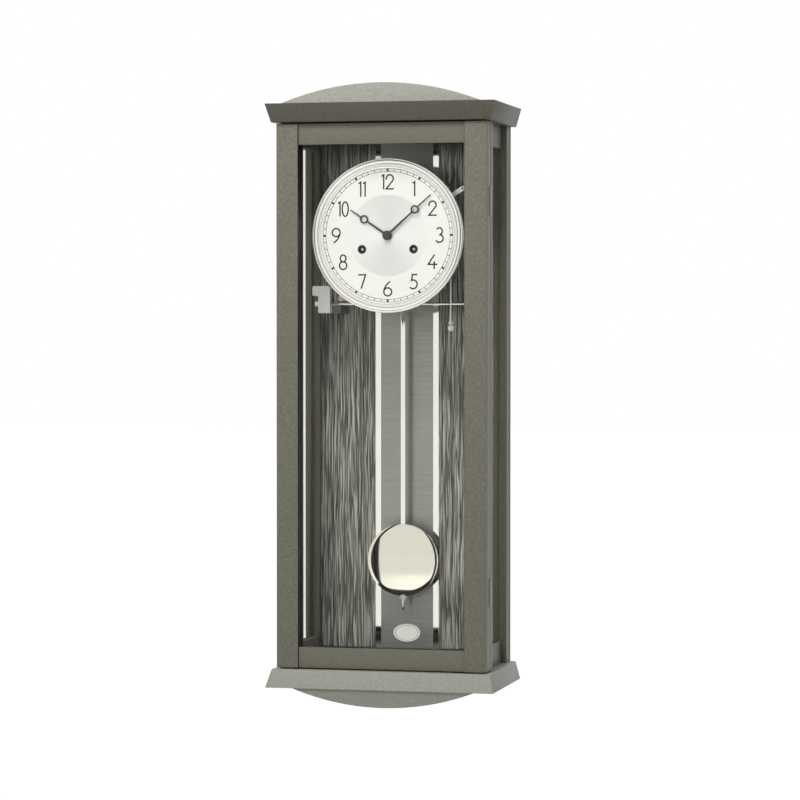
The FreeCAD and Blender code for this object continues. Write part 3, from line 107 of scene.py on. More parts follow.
class Graph:
    """A node tree, filled one node at a time."""

    def __init__(self, tree):
        self.tree = tree

    def add(self, kind, sockets=None, out=0, **settings):
        """Adds a node and returns the output asked for, where the node has outputs."""
        node = self.tree.nodes.new(kind)
        for name, value in settings.items():
            setattr(node, name, value)
        for name, value in (sockets or {}).items():
            if isinstance(value, Wire):
                self.tree.links.new(value.socket, node.inputs[name])
            else:
                node.inputs[name].default_value = value
        return Wire(self, node.outputs[out]) if len(node.outputs) else None

    def step(self, operation, first, second=0.0):
        """One step of arithmetic."""
        return self.add("ShaderNodeMath", {0: first, 1: second}, operation=operation)

    def part(self, point, axis):
        """One of the three numbers of a point."""
        return self.add("ShaderNodeSeparateXYZ", {0: point}, axis)

    def joined(self, **parts):
        """A point made of the numbers given for its axes."""
        return self.add("ShaderNodeCombineXYZ", parts)

    def length(self, point):
        """How far a point is from the origin."""
        return self.add("ShaderNodeVectorMath", {0: point}, "Value", operation="LENGTH")

    def object_point(self, centre=(0, 0, 0), scale=(1, 1, 1)):
        """The place on the object, measured from a centre and scaled along each axis."""
        place = self.add("ShaderNodeTexCoord", None, "Object")
        shift = [-c * s for c, s in zip(centre, scale)]
        return self.add("ShaderNodeMapping", {"Vector": place, "Location": shift, "Scale": scale})

    def noise(self, point, scale=1.0, detail=2.0, roughness=0.5):
        sockets = {"Vector": point, "Scale": scale, "Detail": detail, "Roughness": roughness}
        return self.add("ShaderNodeTexNoise", sockets)

    def grain(self, scale, detail=2.0, roughness=0.5):
        """Noise that is drawn out along the axes with the smaller scales."""
        return self.noise(self.object_point(scale=scale), 1.0, detail, roughness)

    def ramp(self, value, low, high, to_low=0.0, to_high=1.0):
        """A smooth step from to_low, at the low value, to to_high, at the high one."""
        sockets = {0: value, 1: low, 2: high, 3: to_low, 4: to_high}
        return self.add("ShaderNodeMapRange", sockets, interpolation_type="SMOOTHSTEP")

    def mix(self, share, first, second):
        """A colour between two others."""
        return self.add("ShaderNodeMix", {0: share, 6: first, 7: second}, 2, data_type="RGBA")

    def tones(self, value, stops):
        """A colour picked from a row of (place, colour) stops."""
        shade = self.add("ShaderNodeValToRGB", {0: value})
        ramp = shade.socket.node.color_ramp.elements
        ramp.remove(ramp[-1])
        ramp[0].position, ramp[0].color = stops[0]
        for place, colour in stops[1:]:
            ramp.new(place).color = colour
        return shade

    def bump(self, height, strength, distance):
        sockets = {"Height": height, "Strength": strength, "Distance": distance}
        return self.add("ShaderNodeBump", sockets)


def tone(red, green, blue):
    """A colour written as it is read from a screen, 0 to 255, for a shader socket."""
    levels = [c / 255 for c in (red, green, blue)]
    return [c / 12.92 if c < 0.04045 else ((c + 0.055) / 1.055) ** 2.4 for c in levels] + [1.0]


def dimmed(colour, share):
    """A colour with its light multiplied by a share."""
    return [c * share for c in colour[:3]] + [1.0]


def new_finish(name):
    """An empty material and the graph that fills it."""
    material = bpy.data.materials.new(name)
    material.use_nodes = True
    material.node_tree.nodes.clear()
    return material, Graph(material.node_tree)


def surface(graph, sockets):
    """Ends a material's graph with one shader."""
    shader = graph.add("ShaderNodeBsdfPrincipled", sockets)
    graph.add("ShaderNodeOutputMaterial", {"Surface": shader})


# Finishes
def lacquer(name, body, flake, painted_shade_face=None):
    """Warm grey metallic lacquer: fine flakes, a faint cloudiness and a soft orange peel."""
    material, g = new_finish(name)
    point = g.object_point()
    cloud = g.noise(point, 9.0, detail=3.0)
    grain = g.noise(point, 620.0, detail=3.0, roughness=0.65)
    flakes = g.ramp(g.noise(point, 1150.0, detail=1.0), 0.57, 0.70)
    shade = g.mix(g.ramp(grain, 0.32, 0.68), dimmed(body, 0.82), dimmed(body, 1.08))
    shade = g.mix(flakes * 0.5, shade, flake)
    shade = g.mix(cloud * 0.2, shade, dimmed(body, 0.8))
    # Painted shade: near black on the faces the mask picks, standing in for shadow
    if painted_shade_face:
        shade = g.mix(painted_shade_face(g, point), shade, tone(26, 26, 24))
    peel = g.noise(point, 420.0) + grain * 0.4
    surface(g, {"Base Color": shade, "Metallic": flakes * 0.12 + 0.02,
                "Roughness": grain * 0.16 + 0.4, "Specular IOR Level": 0.36,
                "Normal": g.bump(peel, strength=0.12, distance=0.2 * MM)})
    return material


SIGHT_MARGIN = 0.3 * MM


def sight_edge_of_stiles(g, point):
    """1 on the edges of the door stiles that face the glass, which take painted shade."""
    return abs(g.part(point, "X")).below(sight_half + SIGHT_MARGIN)


def sight_edge_of_rails(g, point):
    """1 on the edges of the door rails that face the glass, which take painted shade."""
    height = g.part(point, "Z")
    return height.above(sight_bottom - SIGHT_MARGIN) * height.below(sight_top + SIGHT_MARGIN)


def back_finish():
    """Lacquered edges, and bare brown-grey fibre board on the face against the wall."""
    bare_depth = 0.4 * MM
    material, g = new_finish("bare_back_board")
    point = g.object_point()
    fibres = g.grain((420, 420, 160), detail=4.0, roughness=0.65)
    blotch = g.noise(point, 16.0, detail=3.0)
    bare = g.mix(fibres, tone(96, 84, 70), tone(140, 124, 104))
    bare = g.mix(blotch * 0.4, bare, tone(92, 82, 70))
    flecks = g.noise(point, 760.0, detail=3.0, roughness=0.6)
    painted = g.mix(flecks, tone(104, 102, 93), tone(134, 132, 121))
    shade = g.mix(g.part(point, "Y").above(-bare_depth), painted, bare)
    surface(g, {"Base Color": shade, "Roughness": fibres * 0.15 + 0.66,
                "Normal": g.bump(fibres, strength=0.2, distance=0.3 * MM)})
    return material


def slate():
    """Riven slate: painted highlight on the ridges, near black painted shade in the cracks, by
    relief.
    """
    material, g = new_finish("riven_slate")
    relief = g.add("ShaderNodeAttribute", None, "Fac", attribute_name="relief")
    streak = g.grain((1000, 1000, 30), roughness=0.6)
    broad = g.grain((70, 70, 5))
    dust = g.noise(g.object_point(), 1300.0)
    # Colour follows the relief as painted highlight and shade; streaks and broad cloud are the
    # slate's own tone
    level = relief * 1.05 + (streak - 0.5) * 0.7 + broad * 0.05 + 0.05
    shade = g.tones(level, [(0.0, tone(34, 35, 33)), (0.25, tone(91, 92, 87)),
                            (0.5, tone(147, 148, 141)), (0.8, tone(190, 191, 184)),
                            (1.0, tone(222, 222, 216))])
    shade = g.mix(dust * 0.2, shade, tone(119, 120, 114))
    surface(g, {"Base Color": shade, "Roughness": streak * 0.2 + 0.52, "Specular IOR Level": 0.35,
                "Normal": g.bump(streak * 0.6 + dust * 0.4, strength=0.35, distance=0.4 * MM)})
    return material


def brushed(name, dark, light, scale, rough, metal, drawn=0.0):
    """Metal with a fine grain along the axis with the smallest scale.

    Where drawn is more than 0, reflections are drawn out upright, by a quarter turn of the tangent.
    """
    material, g = new_finish(name)
    grain = g.grain(scale, detail=3.0, roughness=0.6)
    cloud = g.noise(g.object_point(), 22.0)
    shade = g.mix(grain * 0.8 + cloud * 0.2, dark, light)
    surface(g, {"Base Color": shade, "Metallic": metal, "Roughness": grain * 0.14 + rough,
                "Anisotropic": drawn, "Anisotropic Rotation": 0.25,
                "Normal": g.bump(grain, strength=0.08, distance=0.1 * MM)})
    return material


def polished(name, colour, rough, dull_behind=None):
    """Plated metal polished by hand, with faint wipes in the gloss; dull behind a given depth."""
    material, g = new_finish(name)
    wipe = g.grain((60, 60, 18), detail=3.0)
    haze = g.noise(g.object_point(), 260.0)
    shade = g.mix(wipe * 0.25, colour, dimmed(colour, 0.88))
    gloss = wipe * 0.06 + haze * 0.04 + rough
    if dull_behind is not None:
        behind = g.part(g.object_point(), "Y").above(dull_behind)
        shade = g.mix(behind, shade, g.mix(haze, tone(112, 110, 103), tone(152, 150, 141)))
        gloss = gloss + behind * 0.32
    surface(g, {"Base Color": shade, "Metallic": 1.0, "Roughness": gloss})
    return material


def cast_zinc():
    """Pale cast zinc with a faint spangle, and dark on the arm at the block's right end."""
    arm_length = 10.6 * MM
    material, g = new_finish("cast_zinc")
    point = g.object_point()
    pits = g.noise(point, 700.0, detail=3.0, roughness=0.6)
    spangle = g.add("ShaderNodeTexVoronoi", {"Vector": point, "Scale": 260.0})
    shade = g.mix(pits, tone(238, 242, 240), tone(253, 255, 254))
    shade = g.mix(g.ramp(spangle, 0.1, 0.7) * 0.25, shade, tone(228, 233, 232))
    arm = g.part(point, "X").above(block_right - arm_length)
    shade = g.mix(arm, shade, g.mix(pits, tone(84, 85, 85), tone(112, 113, 113)))
    surface(g, {"Base Color": shade, "Metallic": 0.02, "Roughness": pits * 0.2 + 0.36,
                "Normal": g.bump(pits, strength=0.25, distance=0.3 * MM)})
    return material


def arbor_end():
    """Steel arbor, bright at the middle of its end and near black round it."""
    material, g = new_finish("dark_round_arbor")
    point = g.object_point()
    across = abs(g.part(point, "X")) - abs(arbor_x)
    height = g.part(point, "Z") - arbor_z
    reach = g.length(g.joined(X=across, Z=height))
    grain = g.noise(point, 900.0)
    bright = g.ramp(reach, 1.0 * MM, 1.5 * MM, 1.0, 0.0)
    # Near black away from the middle of the end
    darkened = g.mix(grain, tone(30, 29, 27), tone(58, 56, 52))
    shade = g.mix(bright, darkened, tone(214, 214, 210))
    surface(g, {"Base Color": shade, "Metallic": bright * 0.8, "Roughness": grain * 0.2 + 0.35})
    return material


def satin_paint(name, colour, light, rough):
    """Even paint on metal with a dusting of lighter pigment."""
    material, g = new_finish(name)
    point = g.object_point()
    pigment = g.noise(point, 900.0)
    cloud = g.noise(point, 60.0)
    shade = g.mix(pigment * 0.5 + cloud * 0.3, colour, light)
    surface(g, {"Base Color": shade, "Roughness": pigment * 0.15 + rough, "Metallic": 0.15,
                "Normal": g.bump(pigment, strength=0.08, distance=0.1 * MM)})
    return material


def dial_silver():
    """Silvered dial: a bright chapter ring and a darker centre turned on the lathe, with a painted
    sheen.
    """
    disc_radius, ring_radius = 44.6 * MM, 45.0 * MM
    material, g = new_finish("silvered_dial")
    point = g.object_point((dial_x, 0, dial_z))
    across, height = g.part(point, "X"), g.part(point, "Z")
    radius = g.length(g.joined(X=across, Z=height))
    angle = g.step("ARCTAN2", height, across)
    turning = g.noise(g.joined(X=radius * 5200.0, Y=angle * 0.7))
    rays = g.noise(g.joined(X=angle * 90.0, Y=radius * 30.0))
    # Painted highlight: an hourglass sheen across the centre, in the base colour
    painted_sheen = g.step("COSINE", angle * 2.0)
    disc = g.ramp(radius, disc_radius, ring_radius, 1.0, 0.0)
    ring_tone = g.mix(rays, tone(246, 247, 245), tone(253, 254, 252))
    disc_level = turning * 0.3 + painted_sheen * 0.34 + 0.34
    disc_tone = g.mix(disc_level, tone(226, 227, 226), tone(253, 253, 252))
    shade = g.mix(disc, ring_tone, disc_tone)
    surface(g, {"Base Color": shade, "Metallic": disc * 0.05 + 0.4,
                "Roughness": turning * 0.12 + 0.4,
                "Normal": g.bump(turning * disc, strength=0.05, distance=0.05 * MM)})
    return material


def ring_chrome():
    """Chrome turned in rings: the grain runs round the dial, and painted shade darkens the grooves.
    """
    groove_radii, groove_half, groove_fade = (76.1, 79.6, 83.2), 0.15 * MM, 0.5 * MM
    material, g = new_finish("ring_turned_chrome")
    radius = g.length(g.object_point((dial_x, 0, dial_z), (1, 0, 1)))
    lines = g.noise(g.joined(X=radius * 3800.0), detail=3.0)
    shade = g.mix(lines, tone(242, 242, 238), tone(253, 253, 250))
    for groove in groove_radii:
        # Painted shade: a dark line in the base colour along each groove
        groove_shade = g.ramp(abs(radius - groove * MM), groove_half, groove_fade, 0.55, 0.0)
        shade = g.mix(groove_shade, shade, tone(96, 96, 92))
    surface(g, {"Base Color": shade, "Metallic": 0.72, "Roughness": lines * 0.1 + 0.16})
    return material


def enamel():
    """White enamel with a fine dark line inside its edge."""
    line_start, line_end = 0.83, 0.87
    material, g = new_finish("oval_enamel")
    point = g.object_point(plaque_middle, (1 / plaque_half[0], 0, 1 / plaque_half[2]))
    edge = g.length(point)
    mottle = g.noise(g.object_point(), 500.0)
    shade = g.mix(mottle, tone(248, 249, 247), tone(254, 254, 253))
    shade = g.mix(edge.above(line_start) * edge.below(line_end), shade, tone(120, 120, 116))
    surface(g, {"Base Color": shade, "Roughness": mottle * 0.1 + 0.3, "Coat Weight": 0.1})
    return material


def ink():
    """Printed black, a little thin here and there."""
    material, g = new_finish("dial_ink")
    thin = g.noise(g.object_point(), 1800.0)
    shade = g.mix(thin, tone(16, 16, 17), tone(36, 36, 36))
    surface(g, {"Base Color": shade, "Roughness": thin * 0.2 + 0.42})
    return material


def pane_glass():
    """Clear pane: a weak, sharp reflection over a clear body that lets light through."""
    material, g = new_finish("clear_pane")
    smear = g.grain((14, 14, 9), detail=3.0)
    mirror = g.add("ShaderNodeBsdfPrincipled", {"Base Color": tone(242, 242, 241), "Metallic": 1.0,
                                                "Roughness": smear * 0.03 + 0.01})
    clear = g.add("ShaderNodeBsdfTransparent", {"Color": tone(252, 252, 251)})
    share = g.add("ShaderNodeFresnel", {"IOR": 1.45}) * (smear * 0.1 + 0.06)
    pane = g.add("ShaderNodeMixShader", {0: share, 1: clear, 2: mirror})
    g.add("ShaderNodeOutputMaterial", {"Surface": pane})
    return material


LACQUER, FLAKE = tone(102, 101, 90), tone(160, 157, 134)
NICKEL = tone(233, 229, 217)
UPRIGHT_GRAIN = (900, 900, 60)
finishes = {
    "lacquer": lacquer("grey_lacquer", LACQUER, FLAKE),
    "pane": pane_glass(),
    "slate": slate(),
    "brushed_panel": brushed("brushed_grey_panel", tone(122, 123, 118), tone(177, 178, 172),
                             (14, 14, 950), rough=0.27, metal=0.75, drawn=0.8),
    "mirror": polished("mirror_strip", tone(247, 247, 241), rough=0.0),
    "enamel": enamel(),
    "zinc": cast_zinc(),
    "steel": brushed("ground_steel", tone(150, 151, 153), tone(206, 207, 208),
                     UPRIGHT_GRAIN, rough=0.24, metal=1.0),
    "nickel": polished("polished_nickel", NICKEL, rough=0.02),
    "magnet": satin_paint("dark_magnet", tone(44, 44, 46), tone(74, 74, 77), rough=0.4),
    "brass": brushed("satin_brass", tone(128, 108, 66), tone(176, 152, 98),
                     (60, 900, 900), rough=0.32, metal=0.9),
    "dial": dial_silver(),
    "bezel": ring_chrome(),
    "eyelet": satin_paint("dark_eyelet", tone(34, 33, 31), tone(62, 61, 58), rough=0.3),
    "hand": satin_paint("grey_hand", tone(52, 52, 54), tone(86, 86, 88), rough=0.34),
}
# Door stiles' lacquer with painted shade on the edges that face the glass
stile_lacquer = lacquer("stile_lacquer", LACQUER, FLAKE, sight_edge_of_stiles)
crown_lacquer = lacquer("silver_grey_lacquer", tone(150, 150, 142), tone(184, 183, 172))
# Painted shade: a darker copy of the lacquer for the boards inside the case
inside_painted_shade_lacquer = lacquer("inside_painted_shade_lacquer", tone(54, 53, 49), tone(74, 72, 67))
bright_wire = brushed("bright_wire", tone(196, 196, 192), tone(232, 232, 228),
                      UPRIGHT_GRAIN, rough=0.3, metal=0.8)
hinge_satin = brushed("satin_hinge", tone(128, 128, 125), tone(184, 184, 180),
                      (700, 700, 90), rough=0.5, metal=0.3)
dark_round_arbor = arbor_end()
special_finishes = {
    "top_arch": crown_lacquer,
    "bottom_arch": lacquer("apron_lacquer", tone(164, 164, 155), tone(194, 193, 182)),
    "base_board": crown_lacquer,
    # Painted shade: the cornice's down-facing front gets a darker copy of the lacquer
    "cornice_board": lacquer("painted_shade_grey_lacquer", tone(76, 74, 65), tone(118, 116, 102)),
    "back_board": back_finish(),
    "case_top_board": inside_painted_shade_lacquer,
    "case_bottom_board": inside_painted_shade_lacquer,
    # Painted shade: the beads round the glass are near black, standing in for the shadow inside the
    # frame
    "glass_beads": satin_paint("painted_shade_bead", tone(20, 20, 20), tone(38, 38, 38), rough=0.5),
    "door_left_stile": stile_lacquer,
    "door_right_stile": stile_lacquer,
    # Door rails' lacquer with painted shade on the edges that face the glass
    "door_rails": lacquer("rail_lacquer", LACQUER, FLAKE, sight_edge_of_rails),
    "gong_rod": finishes["nickel"],
    "pendulum_rod": polished("bright_rod", tone(247, 248, 243), rough=0.05),
    "rating_nut": bright_wire,
    "pull_wire": bright_wire,
    "silent_lever": bright_wire,
    "hammer": satin_paint("cream_hammer", tone(206, 196, 168), tone(232, 224, 200), rough=0.4),
    "hinge_case_leaves": hinge_satin,
    "hinge_door_leaves": hinge_satin,
    "going_winding_arbor": dark_round_arbor,
    "strike_winding_arbor": dark_round_arbor,
}
dial_ink = ink()

node_slots = {row["node"]: row["material_slot"] for row in frame["record"]["subparts"]}
node_body = {node: body for body, members in frame["record"]["behaviour"]["bodies"].items()
             for node in members}


def node_finish(node):
    """The finish of a node: one of its own, or that of its material slot."""
    return special_finishes.get(node) or finishes[node_slots[node]]


for node, thing in nodes.items():
    thing.data.materials.clear()
    thing.data.materials.append(node_finish(node))


# Making pieces
def piece_from_mesh(name, mesh, material, body, stands_for=()):
    """Adds a mesh to the scene as a piece that rides a body, in the place of some nodes or none."""
    mesh.name = name
    mesh.materials.clear()
    mesh.materials.append(material)
    piece = bpy.data.objects.new(name, mesh)
    bpy.context.scene.collection.objects.link(piece)
    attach(piece, body)
    if stands_for:
        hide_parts(*stands_for)


def evaluated_mesh(thing):
    """The mesh that a thing with live modifiers shows, as plain data; the thing is removed."""
    bpy.context.view_layer.update()
    seen = thing.evaluated_get(bpy.context.evaluated_depsgraph_get())
    mesh = bpy.data.meshes.new_from_object(seen)
    thing.modifiers.clear()
    bpy.data.objects.remove(thing)
    return mesh


def mesh_of(shape, name):
    """The mesh of a shape, with its faces turned outward; the shape is freed."""
    bmesh.ops.recalc_face_normals(shape, faces=shape.faces)
    mesh = bpy.data.meshes.new(name)
    shape.to_mesh(mesh)
    shape.free()
    return mesh


def smooth(mesh, angle):
    """Shades a mesh smooth, apart from edges that turn by more than an angle in degrees."""
    mesh.shade_smooth()
    mesh.set_sharp_from_angle(angle=math.radians(angle))


def eased(node, ease):
    """Puts a copy of a node with eased edges, as sanding and polish leave them, in its place."""
    weld, flat_angle, corner_angle, smooth_angle = 0.002 * MM, math.radians(0.4), 32, 40
    mesh = nodes[node].data.copy()
    shape = bmesh.new()
    shape.from_mesh(mesh)
    bmesh.ops.remove_doubles(shape, verts=shape.verts, dist=weld)
    bmesh.ops.dissolve_limit(shape, angle_limit=flat_angle, verts=shape.verts, edges=shape.edges)
    shape.to_mesh(mesh)
    shape.free()
    thing = bpy.data.objects.new(node + "_draft", mesh)
    bpy.context.scene.collection.objects.link(thing)
    bevel = thing.modifiers.new("ease", "BEVEL")
    bevel.width = ease
    bevel.segments = 2
    bevel.limit_method = "ANGLE"
    bevel.angle_limit = math.radians(corner_angle)
    mesh = evaluated_mesh(thing)
    smooth(mesh, smooth_angle)
    piece_from_mesh(node + "_eased", mesh, node_finish(node), node_body[node],
                    [node])


def lathe(profile, centre, segments):
    """Revolves a closed line of (radius, y) points round an axis along y through centre (x, z)."""
    shape = bmesh.new()
    turns = [2 * math.pi * i / segments for i in range(segments)]
    rings = []
    for radius, y in profile:
        if radius < 1e-9:
            rings.append([shape.verts.new((centre[0], y, centre[1]))] * segments)
        else:
            rings.append([shape.verts.new((centre[0] + radius * math.cos(turn), y,
                                           centre[1] + radius * math.sin(turn))) for turn in turns])
    for first, second in zip(rings, rings[1:] + rings[:1]):
        for i in range(segments):
            corners = []
            for corner in (first[i], second[i], second[i - 1], first[i - 1]):
                if corner not in corners:
                    corners.append(corner)
            if len(corners) > 2:
                shape.faces.new(corners)
    return mesh_of(shape, "lathe")


class Ribbon:
    """Flat strokes of even width on the dial, drawn in (x, z) and given a little height."""

    def __init__(self, half_width, back, front):
        self.half_width = half_width
        self.back = back
        self.front = front
        self.shape = bmesh.new()

    def stroke(self, points):
        """Adds a stroke along a line of points, mitred at its bends."""
        least_spread = 0.45
        line = np.array(points)
        runs = np.diff(line, axis=0)
        runs = runs / np.linalg.norm(runs, axis=1)[:, None]
        along = np.vstack([runs[:1], runs[:-1] + runs[1:], runs[-1:]])
        along = along / np.linalg.norm(along, axis=1)[:, None]
        spread = np.einsum("ij,ij->i", along, np.vstack([runs, runs[-1:]]))
        reach = self.half_width / np.maximum(spread, least_spread)
        aside = np.stack([-along[:, 1], along[:, 0]], 1) * reach[:, None]
        loops = []
        for left, right in zip(line + aside, line - aside):
            corners = ((left, self.front), (right, self.front),
                       (right, self.back), (left, self.back))
            loops.append([self.shape.verts.new((x, y, z)) for (x, z), y in corners])
        for first, second in zip(loops, loops[1:]):
            for i in range(4):
                self.shape.faces.new((first[i - 1], first[i], second[i], second[i - 1]))
        self.shape.faces.new(loops[0])
        self.shape.faces.new(loops[-1])


def arc(centre_x, centre_z, radius_x, radius_z, start, end, count=18):
    """Points of an oval's arc from one angle to another, in degrees."""
    turns = [math.radians(start + (end - start) * i / count) for i in range(count + 1)]
    return [(centre_x + radius_x * math.cos(a), centre_z + radius_z * math.sin(a)) for a in turns]


def curve(start, bend, end, count=14):
    """Points of a stroke that leaves start towards bend and reaches end from there."""
    steps = [i / count for i in range(count + 1)]
    return [tuple(a * (1 - t) ** 2 + b * 2 * t * (1 - t) + c * t * t
                  for a, b, c in zip(start, bend, end)) for t in steps]


# Slender numerals: the width of each figure and its strokes, in a box one unit high
DIGITS = {
    "0": (0.43, [arc(0.215, 0.5, 0.215, 0.5, 90, 450, 36)]),
    "1": (0.15, [[(0.0, 0.9), (0.15, 0.995), (0.15, 0.0)]]),
    "2": (0.56, [arc(0.27, 0.735, 0.25, 0.265, 195, -28) + [(0.015, 0.03), (0.56, 0.03)]]),
    "3": (0.52, [arc(0.24, 0.76, 0.21, 0.24, 150, -82, 16)
                 + arc(0.24, 0.265, 0.27, 0.265, 82, -152)]),
    "4": (0.66, [[(0.46, 1.0), (0.02, 0.33), (0.66, 0.33)], [(0.44, 0.54), (0.44, 0.0)]]),
    "5": (0.52, [[(0.52, 0.97), (0.17, 0.97), (0.11, 0.56)]
                 + arc(0.22, 0.3, 0.29, 0.3, 96, -140)]),
    "6": (0.56, [curve((0.46, 1.0), (0.05, 0.72), (0.0, 0.28))
                 + arc(0.28, 0.28, 0.28, 0.28, 180, 520)[1:]]),
    "7": (0.52, [[(0.0, 0.97), (0.52, 0.97), (0.2, 0.0)]]),
    "8": (0.52, [arc(0.26, 0.76, 0.2, 0.24, -90, 270, 28),
                 arc(0.26, 0.265, 0.26, 0.265, 90, 450, 32)]),
}
# The nine is the six turned over
six_width, six_strokes = DIGITS["6"]
DIGITS["9"] = (six_width, [[(six_width - x, 1.0 - z) for x, z in stroke] for stroke in six_strokes])


def chapter_numerals(radius, height, half_width, lift):
    """The hours 1 to 12, upright, with their middles on a circle."""
    spacing = 0.16
    ribbon = Ribbon(half_width, dial_front, dial_front - lift)
    for hour in range(1, 13):
        angle = math.radians(90 - 30 * hour)
        figures = [DIGITS[figure] for figure in str(hour)]
        width = sum(figure[0] for figure in figures) + spacing * (len(figures) - 1)
        left = dial_x + radius * math.cos(angle) - width * height / 2
        foot = dial_z + radius * math.sin(angle) - height / 2
        for figure_width, strokes in figures:
            for stroke in strokes:
                ribbon.stroke([(left + x * height, foot + z * height) for x, z in stroke])
            left += (figure_width + spacing) * height
    return mesh_of(ribbon.shape, "ribbon")


# Geometry node trees
def node_tree(name, **inputs):
    """A tree with the named inputs, and the wires that leave them."""
    tree = bpy.data.node_groups.new(name, "GeometryNodeTree")
    for label, kind in inputs.items():
        tree.interface.new_socket(label, in_out="INPUT", socket_type="NodeSocket" + kind)
    tree.interface.new_socket("Geometry", in_out="OUTPUT", socket_type="NodeSocketGeometry")
    graph = Graph(tree)
    entry = tree.nodes.new("NodeGroupInput")
    return graph, {label: Wire(graph, entry.outputs[label]) for label in inputs}


def close_tree(graph, geometry, material):
    """Ends a tree: instances become plain geometry, with one finish."""
    plain = graph.add("GeometryNodeRealizeInstances", {0: geometry})
    done = graph.add("GeometryNodeSetMaterial", {"Geometry": plain, "Material": material})
    graph.add("NodeGroupOutput", {"Geometry": done})
    return graph.tree


def grown(tree, **values):
    """Runs a tree with the given inputs and returns what it makes as a plain mesh."""
    thing = bpy.data.objects.new(tree.name + "_draft", bpy.data.meshes.new("draft"))
    modifier = thing.modifiers.new("grow", "NODES")
    modifier.node_group = tree
    for item in tree.interface.items_tree:
        if item.in_out == "INPUT":
            modifier[item.identifier] = values[item.name]
    bpy.context.scene.collection.objects.link(thing)
    return evaluated_mesh(thing)


def marks_tree():
    """Bars set round a circle, each pointing to its middle."""
    g, given = node_tree("ring_of_marks", Count="Int", Radius="Float", Size="Vector",
                         Place="Vector", Finish="Material")
    circle = g.add("GeometryNodeMeshCircle",
                   {"Vertices": given["Count"], "Radius": given["Radius"]})
    bar = g.add("GeometryNodeMeshCube", {"Size": given["Size"]})
    facing = g.add("FunctionNodeAlignRotationToVector",
                   {"Vector": g.add("GeometryNodeInputPosition")}, axis="Y", pivot_axis="Z")
    marks = g.add("GeometryNodeInstanceOnPoints",
                  {"Points": circle, "Instance": bar, "Rotation": facing})
    upright = g.add("GeometryNodeTransform", {"Geometry": marks, "Rotation": (math.pi / 2, 0, 0),
                                              "Translation": given["Place"]})
    return close_tree(g, upright, given["Finish"])


def slate_tree():
    """A panel whose front is riven into upright ridges with meandering cracks between them."""
    g, given = node_tree("upright_slate", Size="Vector", Place="Vector", Columns="Int",
                         Rows="Int", Depth="Float", Finish="Material")
    panel = g.add("GeometryNodeMeshCube", {"Size": given["Size"], "Vertices X": given["Columns"],
                                           "Vertices Y": 2, "Vertices Z": given["Rows"]})
    panel = g.add("GeometryNodeTransform", {"Geometry": panel, "Translation": given["Place"]})
    point = g.add("GeometryNodeInputPosition")

    sway_scale, sway_width = (40.0, 0.0, 16.0), 6.0 * MM
    slow = g.add("ShaderNodeVectorMath", {0: point, 1: sway_scale}, operation="MULTIPLY")
    sway = (g.noise(slow) - 0.5) * sway_width
    bent = g.add("ShaderNodeVectorMath", {0: point, 1: g.joined(X=sway)}, operation="ADD")

    def field(across, up, shift):
        """Noise on the bent panel, with its own scale across and up."""
        place = g.add("ShaderNodeVectorMath", {0: bent, 1: (across, 0.0, up), 2: [shift] * 3},
                      operation="MULTIPLY_ADD")
        return g.noise(place, detail=1.0)

    fibres = sum(g.ramp(field(across, up, shift), 0.37, 0.63) * 0.5
                 for across, up, shift in ((950, 8, 3.7), (1600, 14, 11.3)))
    crack = (g.ramp(abs(field(330, 8, 21.9) - 0.5), 0.02, 0.09)
             * g.ramp(abs(field(520, 12, 36.1) - 0.5), 0.0, 0.06))
    relief = (fibres * 0.6 + 0.32) * (crack * 0.8 + 0.2)
    in_front = g.add("FunctionNodeCompare",
                     {0: g.part(point, "Y"), 1: g.part(given["Place"], "Y")},
                     data_type="FLOAT", operation="LESS_THAN")
    held = g.add("GeometryNodeStoreNamedAttribute",
                 {"Geometry": panel, "Name": "relief", "Value": relief},
                 data_type="FLOAT", domain="POINT")
    stored = g.add("GeometryNodeInputNamedAttribute", {"Name": "relief"}, data_type="FLOAT")
    offset = g.joined(Y=(1.0 - stored) * given["Depth"])
    riven = g.add("GeometryNodeSetPosition",
                  {"Geometry": held, "Selection": in_front, "Offset": offset})
    return close_tree(g, riven, given["Finish"])


# Slate veneer on both sides of the mirror strips
slate_maker = slate_tree()
slate_size = (slate_high.x - strips_edge, slate_high.y - slate_low.y, slate_high.z - slate_low.z)
for side, label in ((-1, "left"), (1, "right")):
    place = (side * (strips_edge + slate_high.x) / 2, (slate_low.y + slate_high.y) / 2,
             (slate_low.z + slate_high.z) / 2)
    mesh = grown(slate_maker, Size=slate_size, Place=place, Columns=300, Rows=130,
                 Depth=1.3 * MM, Finish=finishes["slate"])
    mesh.shade_smooth()
    piece_from_mesh("slate_veneer_" + label, mesh, finishes["slate"], "case",
                    ["slate_panels"])

# Boards, posts and frame with eased edges, and small pieces with finer ones
BOARD_EASE, SMALL_EASE = 0.7 * MM, 0.25 * MM
for node in ("cornice_board", "base_board", "top_arch", "bottom_arch", "front_posts", "side_rails",
             "door_left_stile", "door_right_stile", "door_rails"):
    eased(node, BOARD_EASE)
for node in ("gong_block", "hour_hand", "minute_hand", "pendulum_rod", "winding_eyelets"):
    eased(node, SMALL_EASE)

